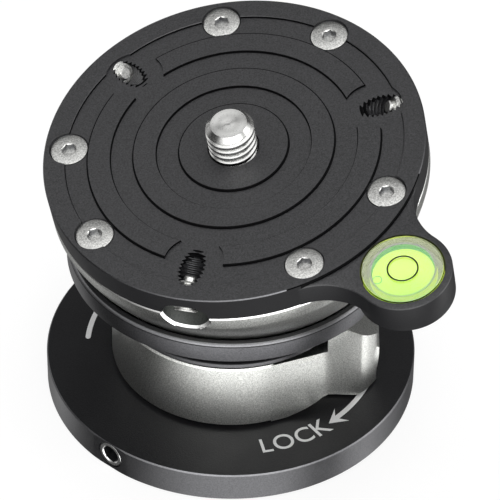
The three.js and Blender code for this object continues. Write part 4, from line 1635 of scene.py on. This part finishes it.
@dataclass
class LeverRing:
    """The cam ring under the cup, with the lobe that the fingers push."""

    material: bpy.types.Material
    bore: float = 17.1
    radius: float = 24.0
    bottom: float = 7.1
    top: float = 22.4
    rise: float = 3.6
    edge: float = 0.35
    rise_bore: float = 25.6
    end_reach: float = 29.3
    bevel: float = 6.2
    root: Point = (14.5, -14.0)
    neck: tuple[Point, ...] = (
        (8.2, -22.56), (10.8, -21.59), (13.3, -20.66), (15.6, -19.8), (17.3, -19.15), (18.4, -18.73),
    )
    flank: tuple[Point, ...] = ((19.22, -18.4), (21.0, -17.33), (22.9, -16.19), (25.9, -14.39))
    corner: tuple[Point, ...] = ((26.1, -14.24), (26.65, -13.75), (27.25, -13.1), (27.9, -12.25))
    end_corner: tuple[Point, ...] = ((28.5, -11.4), (29.0, -10.65), (29.3, -10.0))
    row_shares: tuple[float, ...] = (
        0.0, 0.1, 0.19, 0.27, 0.35, 0.42, 0.5, 0.565, 0.58, 0.68, 0.79, 0.9, 1.0,
    )
    ledge: float = 0.38
    ledge_from: float = 0.19
    ledge_full: float = 0.42
    ledge_to: float = 0.57
    hollow: tuple[Point, ...] = (
        (10.8, 7.0), (13.2, 7.6), (15.1, 8.2), (17.1, 9.2), (18.4, 10.2), (19.5, 10.5), (21.0, 9.7),
        (22.9, 8.5), (24.6, 7.5), (25.5, 7.0),
    )
    hollow_from: float = 14.4
    hollow_to: float = 30.0
    cam_angles: tuple[Point, Point] = ((2.0, 108.0), (182.0, 288.0))
    cam_reach: float = 20.6
    cam_heights: Point = (13.45, 19.2)

    def ledge_at(self, share: float) -> float:
        """How far the lobe's end stands out at a share of its height: a ledge that fades out downwards."""
        if share > self.ledge_to:
            return 0.0
        risen = (share - self.ledge_from) / (self.ledge_full - self.ledge_from)
        return self.ledge * min(1.0, max(0.0, risen))

    def outline(self, share: float) -> Outline:
        """The lobe's outline on its near side, at a share of its height; only the ledge changes with it."""
        *corner, (x, y) = (*self.corner, *self.end_corner)
        return [self.root, *self.neck, *self.flank, *corner, (x + self.ledge_at(share), y)]

    def whole(self, side: Outline) -> Outline:
        """An outline with its mirror image on the far side."""
        return [*side, *[(x, -y) for x, y in reversed(side)]]

    def lobe(self) -> bpy.types.Object:
        """The lobe at its full height, as rows of points up to the ring's top and a last row above it."""
        rows = [self.whole(self.outline(share)) for share in self.row_shares]
        height = self.top - self.bottom
        piece = chain("lobe", [(x, y, self.bottom) for x, y in rows[0]], closed=True)
        with editing(piece, "EDGE"):
            bpy.ops.mesh.select_all(action="SELECT")
            bpy.ops.mesh.edge_face_add()
        for k in range(1, len(rows)):
            step = (self.row_shares[k] - self.row_shares[k - 1]) * height
            with editing(piece, "FACE"):
                bpy.ops.mesh.extrude_region_move(TRANSFORM_OT_translate={"value": (0, 0, step * MM)})
            self.shift(piece, rows[k - 1], rows[k])
        with editing(piece, "FACE"):
            bpy.ops.mesh.extrude_region_move(TRANSFORM_OT_translate={"value": (0, 0, self.rise * MM)})
        clean(piece)
        break_rim(piece, self.edge, lambda centre, normal: normal.z > FLAT, segments=2)
        return piece

    def shift(self, piece: bpy.types.Object, below: Outline, row: Outline) -> None:
        """Moves the selected points from one outline to another."""
        for vertex in piece.data.vertices:
            if vertex.select:
                here = vertex.co.xy / MM
                k = min(range(len(below)), key=lambda n: (Vector(below[n]) - here).length)
                vertex.co.x, vertex.co.y = row[k][0] * MM, row[k][1] * MM

    def low_part(self) -> list[bpy.types.Object]:
        """Cutters for all of the lobe above the ring's top but its end, outside the cup's flange."""
        high = self.top + self.rise + OVERRUN
        step, reach = self.flank[0][0], self.radius + OVERRUN
        outline = [(0.0, -reach), (step, -reach), (step, reach), (0.0, reach)]
        box = raised("low_part", outline, self.top, high)
        return [box, drum("flange_room", self.rise_bore, self.top + HAIRLINE, high, FINE)]

    def thumb_hollow(self, start: float, end: float) -> bpy.types.Object:
        """A cutter for the hollow under one flank, arched up from the lobe's underside."""
        low = self.bottom - OVERRUN
        outline = [(self.hollow[0][0], low), *self.hollow, (self.hollow[-1][0], low)]
        cutter = raised("thumb_hollow", outline, start, end)
        return placed(cutter, Matrix.Rotation(math.radians(90.0), 4, "X"))

    def cam_slot(self, start: float, end: float) -> bpy.types.Object:
        """A cutter for the room of the cross pin's end, between two angles inside the ring."""
        outline = [*arc(self.cam_reach, start, end), *arc(self.bore - OVERRUN / 2, end, start)]
        return raised("cam_slot", outline, *self.cam_heights)

    def bevel_slab(self) -> bpy.types.Object:
        """A cutter for the sloping face at the lobe's upper end."""
        top, reach = self.top + self.rise, self.end_reach
        outline = [
            (reach - self.bevel, top), (reach + OVERRUN, top - self.bevel - OVERRUN),
            (reach * 2, top), (reach * 2, top + OVERRUN), (reach - self.bevel - OVERRUN, top + OVERRUN),
        ]
        slab = raised("bevel_slab", outline, -reach, reach)
        return placed(slab, Matrix.Rotation(math.radians(90.0), 4, "X"))

    def build(self) -> bpy.types.Object:
        """Makes the lever."""
        inner = self.bore - OVERRUN
        piece = turned("cam_lever", eased([
            (inner, self.bottom), (self.radius, self.bottom), (self.radius, self.top), (inner, self.top),
        ], self.edge, closed=True), closed=True)
        lobe = self.lobe()
        for cutter in self.low_part():
            combine(lobe, Join.CUT, cutter)
        combine(piece, Join.ADD, lobe)
        combine(piece, Join.CUT, self.bevel_slab())
        combine(piece, Join.CUT, drum("bore", self.bore, self.bottom - OVERRUN, self.top + OVERRUN, FINE))
        near, far = self.hollow_from, self.hollow_to
        combine(piece, Join.CUT, self.thumb_hollow(near, far))
        combine(piece, Join.CUT, self.thumb_hollow(-far, -near))
        combine(piece, Join.CUT, *[self.cam_slot(start, end) for start, end in self.cam_angles])
        return dress(piece, Body.LEVER, Slot.SILVER, self.material, "lever_ring")


@dataclass
class TripodBush:
    """The brass bush with the tripod's thread, in the base's underside."""

    material: bpy.types.Material
    radius: float = 6.5
    height: float = 8.5
    gap: float = 0.1
    edge: float = 0.3
    flare: float = 0.5
    thread: Thread = Thread(4.76, 1.5875, 0.95)

    def build(self) -> bpy.types.Object:
        """Makes the bush."""
        piece = turned("threaded_bush", eased([
            (0.0, self.gap), (self.radius, self.gap), (self.radius, self.height), (0.0, self.height),
        ], self.edge), MEDIUM)
        bore = self.thread.stock("bush_thread", -OVERRUN, self.height + OVERRUN)
        combine(piece, Join.CUT, bore)
        mouth = self.thread.radius + self.flare
        end = self.gap + self.flare * 2
        flare = turned("bush_mouth", [
            (0.0, -OVERRUN), (mouth + OVERRUN, -OVERRUN), (mouth - self.flare * 2, end), (0.0, end),
        ], MEDIUM)
        combine(piece, Join.CUT, flare)
        return dress(piece, Body.BASE, Slot.BRASS, self.material, "tripod_bush")


# The studio


@dataclass(frozen=True)
class Lamp:
    """A soft square lamp that lights matt surfaces and isn't seen in gloss.

    Attributes:
        name: Its name.
        place: Where it stands, in millimetres; it faces the object.
        size: Its width, in millimetres.
        power: Its power in watts.
    """

    name: str
    place: tuple[float, float, float]
    size: float
    power: float

    def build(self, target: Vector) -> None:
        """Hangs the lamp so that it faces a place, in millimetres."""
        data = bpy.data.lights.new(self.name, "AREA")
        data.size = self.size * MM
        data.energy = self.power
        lamp = bpy.data.objects.new(self.name, data)
        lamp.visible_glossy = False
        bpy.context.scene.collection.objects.link(lamp)
        lamp.location = Vector(self.place) * MM
        lamp.rotation_mode = "QUATERNION"
        lamp.rotation_quaternion = (target - Vector(self.place)).to_track_quat("-Z", "Y")


@dataclass(frozen=True)
class Studio:
    """The photograph's camera, a pale floor, soft lamps, and what gloss sees: soft boxes and black cards.

    What gloss sees comes from the world alone. round_levels are its brightness low down, by the share of a
    full turn from +X towards +Y. height_levels fade it by height, and one more soft box hangs overhead.
    """

    elevation: float = 42.184
    distance: float = 762.7
    target: tuple[float, float, float] = (3.711, 0.0, 32.507)
    roll: float = 0.548
    focal_pixels: float = 3843.3
    picture_pixels: float = 500.0
    sensor: float = 36.0
    near_clip: float = 10.0
    far_clip: float = 50000.0
    floor_size: float = 4000.0
    floor_drop: float = 0.1
    floor_glow: float = 0.8
    floor_white: float = 1.06
    lamps: tuple[Lamp, ...] = (
        Lamp("overhead", (0.0, 100.0, 900.0), 800.0, 4.0), Lamp("front", (100.0, -700.0, 350.0), 400.0, 1.5),
    )
    soft_level: float = 0.6
    round_levels: tuple[Point, ...] = (
        (0.0, 1.0), (0.015, 0.85), (0.035, 0.36), (0.115, 0.04), (0.167, 0.05), (0.328, 0.08), (0.367, 0.27),
        (0.433, 0.25), (0.478, 0.03), (0.58, 0.04), (0.62, 0.36), (0.7, 0.95), (0.78, 1.0), (0.83, 1.0),
        (0.868, 0.95), (0.888, 0.0), (0.952, 0.0), (0.965, 1.0), (1.0, 1.0),
    )
    height_lean: float = 0.12
    height_levels: tuple[Point, ...] = (
        (0.0, 0.1), (0.025, 0.1), (0.06, 0.25), (0.125, 0.5), (0.165, 0.56), (0.27, 0.9), (0.4, 1.0),
        (0.47, 0.4), (0.62, 0.4), (0.7, 1.0), (0.85, 1.0), (0.9, 0.1), (1.0, 0.0),
    )
    round_strength: float = 4.8
    overhead_strength: float = 1.6
    overhead_from: float = 0.55
    overhead_to: float = 0.78
    overhead_lean: float = 0.35

    def camera(self) -> None:
        """Sets the camera where the photograph was taken from."""
        slope, roll = math.radians(self.elevation), math.radians(self.roll)
        back = Vector((0.0, -math.cos(slope), math.sin(slope)))
        right = Vector((1.0, 0.0, 0.0))
        up = back.cross(right)
        across = right * math.cos(roll) + up * math.sin(roll)
        upward = up * math.cos(roll) - right * math.sin(roll)
        data = bpy.data.cameras.new("camera")
        data.sensor_width = self.sensor
        data.lens = self.focal_pixels / self.picture_pixels * self.sensor
        data.clip_start = self.near_clip * MM
        data.clip_end = self.far_clip * MM
        eye = bpy.data.objects.new("camera", data)
        bpy.context.scene.collection.objects.link(eye)
        turn = Matrix((across, upward, back)).transposed().to_4x4()
        eye.matrix_world = Matrix.Translation((Vector(self.target) + back * self.distance) * MM) @ turn
        bpy.context.scene.camera = eye

    def floor(self) -> None:
        """A pale floor that is white to the camera and still holds a soft shadow."""
        bpy.ops.object.select_all(action="DESELECT")
        bpy.ops.mesh.primitive_plane_add(size=self.floor_size * MM, location=(0, 0, -self.floor_drop * MM))
        piece = bpy.context.object
        piece.name = "floor"
        piece.visible_glossy = False
        material, tree = new_material("pale_floor")
        path = add_node(tree, "ShaderNodeLightPath")
        seen = add_node(tree, "ShaderNodeMath", {"operation": "MAXIMUM"}, {
            0: path.outputs["Is Camera Ray"], 1: path.outputs["Is Transmission Ray"],
        }).outputs[0]
        share = add_node(tree, "ShaderNodeMath", {"operation": "MULTIPLY"}, {
            0: seen, 1: self.floor_glow,
        }).outputs[0]
        pale = add_node(tree, "ShaderNodeBsdfDiffuse", inputs={"Color": linear("fafafa")})
        glow = add_node(tree, "ShaderNodeEmission", inputs={
            "Color": linear("ffffff"), "Strength": self.floor_white,
        })
        mix = add_node(tree, "ShaderNodeMixShader", inputs={
            0: share, 1: pale.outputs[0], 2: glow.outputs[0],
        })
        add_node(tree, "ShaderNodeOutputMaterial", inputs={"Surface": mix.outputs[0]})
        piece.data.materials.append(material)

    def world(self) -> None:
        """White for the camera and through glass, soft light for matt skins, boxes and cards for gloss."""
        world = bpy.data.worlds.new("studio")
        world.use_nodes = True
        tree = world.node_tree
        tree.nodes.clear()
        direction = add_node(tree, "ShaderNodeTexCoord").outputs["Generated"]
        parts = add_node(tree, "ShaderNodeSeparateXYZ", inputs={"Vector": direction}).outputs
        turn = add_node(tree, "ShaderNodeMath", {"operation": "ARCTAN2"}, {
            0: parts["Y"], 1: parts["X"],
        }).outputs[0]
        turns = add_node(tree, "ShaderNodeMath", {"operation": "MULTIPLY"}, {
            0: turn, 1: 1 / math.tau,
        }).outputs[0]
        share = add_node(tree, "ShaderNodeMath", {"operation": "FRACT"}, {0: turns}).outputs[0]
        leant = add_node(tree, "ShaderNodeMath", {"operation": "MULTIPLY_ADD"}, {
            0: parts["Y"], 1: self.height_lean, 2: parts["Z"],
        }).outputs[0]
        height = add_node(tree, "ShaderNodeMapRange", inputs={
            "Value": leant, "From Min": -1.0, "From Max": 1.0,
        })
        ramps = []
        for source, stops in ((share, self.round_levels), (height.outputs["Result"], self.height_levels)):
            ramp = add_node(tree, "ShaderNodeValToRGB", inputs={"Fac": source})
            elements = ramp.color_ramp.elements
            elements[0].position, elements[1].position = stops[0][0], stops[-1][0]
            for position, _ in stops[1:-1]:
                elements.new(position)
            for element, (_, level) in zip(elements, stops):
                element.color = (level, level, level, 1.0)
            ramps.append(ramp.outputs["Color"])
        low = add_node(tree, "ShaderNodeMath", {"operation": "MULTIPLY"}, {
            0: ramps[0], 1: ramps[1],
        }).outputs[0]
        band = add_node(tree, "ShaderNodeMath", {"operation": "MULTIPLY"}, {
            0: low, 1: self.round_strength,
        }).outputs[0]
        up = add_node(tree, "ShaderNodeMath", {"operation": "MULTIPLY_ADD"}, {
            0: parts["Y"], 1: -self.overhead_lean, 2: parts["Z"],
        }).outputs[0]
        box = add_node(tree, "ShaderNodeMapRange", {"interpolation_type": "SMOOTHSTEP"}, {
            "Value": up, "From Min": self.overhead_from, "From Max": self.overhead_to,
            "To Min": 0.0, "To Max": self.overhead_strength,
        }).outputs["Result"]
        pattern = add_node(tree, "ShaderNodeMath", {"operation": "MAXIMUM"}, {
            0: band, 1: box,
        }).outputs[0]
        path = add_node(tree, "ShaderNodeLightPath").outputs
        seen = add_node(tree, "ShaderNodeMath", {"operation": "MAXIMUM"}, {
            0: path["Is Camera Ray"], 1: path["Is Transmission Ray"],
        }).outputs[0]
        soft, gloss, white = [
            add_node(tree, "ShaderNodeBackground", inputs={"Strength": strength}).outputs[0]
            for strength in (self.soft_level, pattern, 1.0)
        ]
        matt_or_gloss = add_node(tree, "ShaderNodeMixShader", inputs={
            0: path["Is Glossy Ray"], 1: soft, 2: gloss,
        }).outputs[0]
        mix = add_node(tree, "ShaderNodeMixShader", inputs={0: seen, 1: matt_or_gloss, 2: white})
        add_node(tree, "ShaderNodeOutputWorld", inputs={"Surface": mix.outputs[0]})
        bpy.context.scene.world = world

    def build(self) -> None:
        """Sets up the whole studio."""
        self.camera()
        self.floor()
        self.world()
        for lamp in self.lamps:
            lamp.build(Vector(self.target))
        bpy.context.scene.view_settings.view_transform = "Standard"


@dataclass
class Finishes:
    """Every finish of the object."""

    place: HeadPlace

    def build(self) -> dict[str, bpy.types.Material]:
        """Makes each material once and gives them by name."""
        spot = Vector((*polar(BubbleLevel.reach, PlateLayout.ear_angle), 0.0))
        level = self.place.matrix @ Matrix.Translation(spot * MM)
        recipes = {
            # Black anodised, bead-blasted aluminium: matt and nearly black, with a soft grey sheen
            "black": BlastedMetal(
                "black_anodised", "343436", "0e0e10", 0.0, 0.42, 0.34, 0.4, sheen_level=0.62
            ),
            # The base's upper face and the cup, blasted the same way: a deeper black with half the sheen, a
            # painted shade
            "base_shade_black": BlastedMetal(
                "painted_base_shade", "1e1e20", "111113", 0.0, 0.42, 0.28, 0.25, sheen_level=0.3
            ),
            # The plate's upright wall and the ear's side: the plate's black made finer, duller and darker, a
            # painted shade
            "wall_shade_black": BlastedMetal(
                "wall_shade_black", "1c1c1e", "121214", 0.0, 0.5, 0.25, 0.15, sheen_level=0.25
            ),
            # Painted shade for the walls of steps, recesses and holes, the pads' edge strips and the plate's
            # edge over the ear: near black, dull and almost without sheen
            "step_shade_black": BlastedMetal(
                "painted_step_shade", "0c0c0d", "080809", 0.0, 0.7, 0.25, 0.1, sheen_level=0.05
            ),
            # Black anodising over turned aluminium: the metal's own reflection shows as dark grey
            "black_turned": BlastedMetal("turned_black", "6e6e70", "5e5e60", 1.0, 0.36, 0.3, 0.08),
            # The cup's outer wall at its rim, turned: a darker grey, a little less sharp
            "black_cup": BlastedMetal("cup_black", "565658", "464648", 1.0, 0.38, 0.3, 0.1),
            # The turned corners of base and cup: a painted highlight, a line brighter than the walls
            "edge_highlight_black": BlastedMetal("painted_edge_highlight", "7c7c7e", "6c6c6e", 1.0, 0.35, 0.3, 0.05),
            # Clear anodised, bead-blasted aluminium: pale grey with a fine grain of lights and darks
            "silver": BlastedMetal("clear_anodised", "f2f3ef", "b0b1ad", 1.0, 0.33, 0.24, 0.14, 0.02),
            # The same aluminium where an edge was cut after blasting: smoother and nearly white
            "silver_edge": BlastedMetal("cut_edge", "f4f4f2", "e6e6e4", 1.0, 0.3, 0.3, 0.05),
            # Painted shade on the pockets' walls: a dull dark grey with a trace of olive
            "pocket": BlastedMetal("painted_pocket_shade", "454845", "343634", 0.3, 0.5, 0.3, 0.15),
            # Tumbled stainless steel of the screws: a pale satin with a coarse glitter
            "screw": BlastedMetal("stainless_head", "f0f0ed", "a8a8a6", 1.0, 0.36, 0.3, 0.45),
            # The stud's rolled stainless thread: nearly white, its flanks streaked finely
            "stud": TurnedMetal("stainless_thread", "ececea", "d4d4d2", 0.22, 0.5, 0.08),
            # The stud's end, faced on a lathe: fine rings round its axis, which catch the light in turn
            "stud_end": TurnedMetal("stainless_end", "e4e4e2", "c8c8c6", 0.3, 0.3, 0.06, self.place.matrix),
            # Plain machined steel of the clamp: mid grey, half dull, with tool lines; on the walls inside the
            # screws' sockets it is painted shade
            "steel": TurnedMetal("plain_steel", "7c7d7e", "55565a", 0.38, 0.5, 0.2),
            # Free-cutting brass, turned: warm yellow with fine darker rings
            "brass": TurnedMetal("turned_brass", "c9a252", "9a7a36", 0.3, 0.5, 0.2),
            # Acetal liner and washer: smooth, off-white and a little waxy
            "plastic": Moulded("acetal", "e6e3da", "d8d5cb", 0.45),
            # White screen print on the base: a thin even coat, matt and faintly uneven
            "print": Moulded("white_print", "e6e6e6", "d6d6d6", 0.6, 0.2, 0.1),
            # Black screen print on the level's lens: quite matt, with a trace of the green under it
            "ink": Moulded("black_ink", "060704", "0a0b06", 0.9, 0.2, 0.05),
            # Polished cast acrylic: clear, with a yellow tint that hardly shows
            "clear": ClearAcrylic("clear_acrylic", "fbfdf4"),
            # The block's painted underside, seen through it: yellow green near by, a lilac grey beyond, with a
            # faint painted glow
            "back": LevelFluid("pale_back", "cdf23c", "b2b1c0", level, 7.8, 0.1),
            # The dyed fluid on its floor: bright yellow green that pales towards the middle, with a painted
            # glow
            "fluid": LevelFluid("yellow_green_fluid", "c4fa24", "eeff6a", level, 6.3, 0.5),
            # The fluid's edge, where one looks through more of it: a deeper, cooler green, with a painted glow
            "fluid_wall": LevelFluid("deep_green_fluid", "50cc5c", "08a04a", level, 6.3, 0.3),
            # The bubble's outline, where the fluid's surface bends light away: a clear mid green
            "bubble": Moulded("bubble_edge", "6fd06a", "5cc45c", 0.3, 0.5, 0.02),
        }
        return {key: recipe.build() for key, recipe in recipes.items()}


# The finish of each part that keeps its frame mesh
HIDDEN_FINISHES = {
    "cup_screw_1": "steel", "cup_screw_2": "steel", "cup_screw_3": "steel", "thrust_washer": "plastic",
    "clamp_rod": "steel", "cross_pin": "steel", "rod_nut": "steel", "spring_washer": "steel",
    "release_spring": "steel", "pressure_dome": "silver", "slip_liner": "plastic",
}


def dress_works(nodes: dict[str, bpy.types.Object], materials: dict[str, bpy.types.Material]) -> None:
    """Gives the clamp's parts inside, which keep their frame meshes, their finishes."""
    for name, finish in HIDDEN_FINISHES.items():
        for place in nodes[name].material_slots:
            place.material = materials[finish]
        LOG.info("%s: kept, finished as %s", name, finish)


def main() -> None:
    """Builds the dressed object and its studio."""
    logging.basicConfig(level=logging.INFO, format="%(name)s: %(message)s")
    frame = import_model()
    bpy.ops.object.select_all(action="DESELECT")
    place = HeadPlace.of(frame["joints"])
    layout = PlateLayout()
    materials = Finishes(place).build()
    dress_works(frame["nodes"], materials)
    centre = place.matrix.translation.z / MM
    # The base and the cup take the deeper black as painted shade, and their upper chamfers a painted highlight
    black, side, edge = materials["base_shade_black"], materials["black_turned"], materials["edge_highlight_black"]
    silver, cut_edge = materials["silver"], materials["silver_edge"]
    BaseDisc(black, side, edge, materials["print"]).build()
    TripodBush(materials["brass"]).build()
    RimScrew(cut_edge, materials["steel"]).build()
    LeverRing(silver).build()
    SeatCup(black, materials["black_cup"], side, edge, centre).build()
    HalfBall(place, layout, silver, cut_edge, materials["pocket"]).build()
    TopPlate(
        place, layout, materials["black"], side, materials["wall_shade_black"], materials["step_shade_black"]
    ).build()
    PlateScrews(place, layout, materials["screw"], materials["steel"]).build()
    MountingStud(place, layout, materials["stud"], materials["stud_end"]).build()
    GrubScrews(place, layout, materials["screw"]).build()
    BubbleLevel(
        place, layout, materials["clear"], materials["back"], materials["fluid"], materials["fluid_wall"],
        materials["bubble"], materials["ink"],
    ).build()
    Studio().build()


if __name__ == "__main__":
    main()
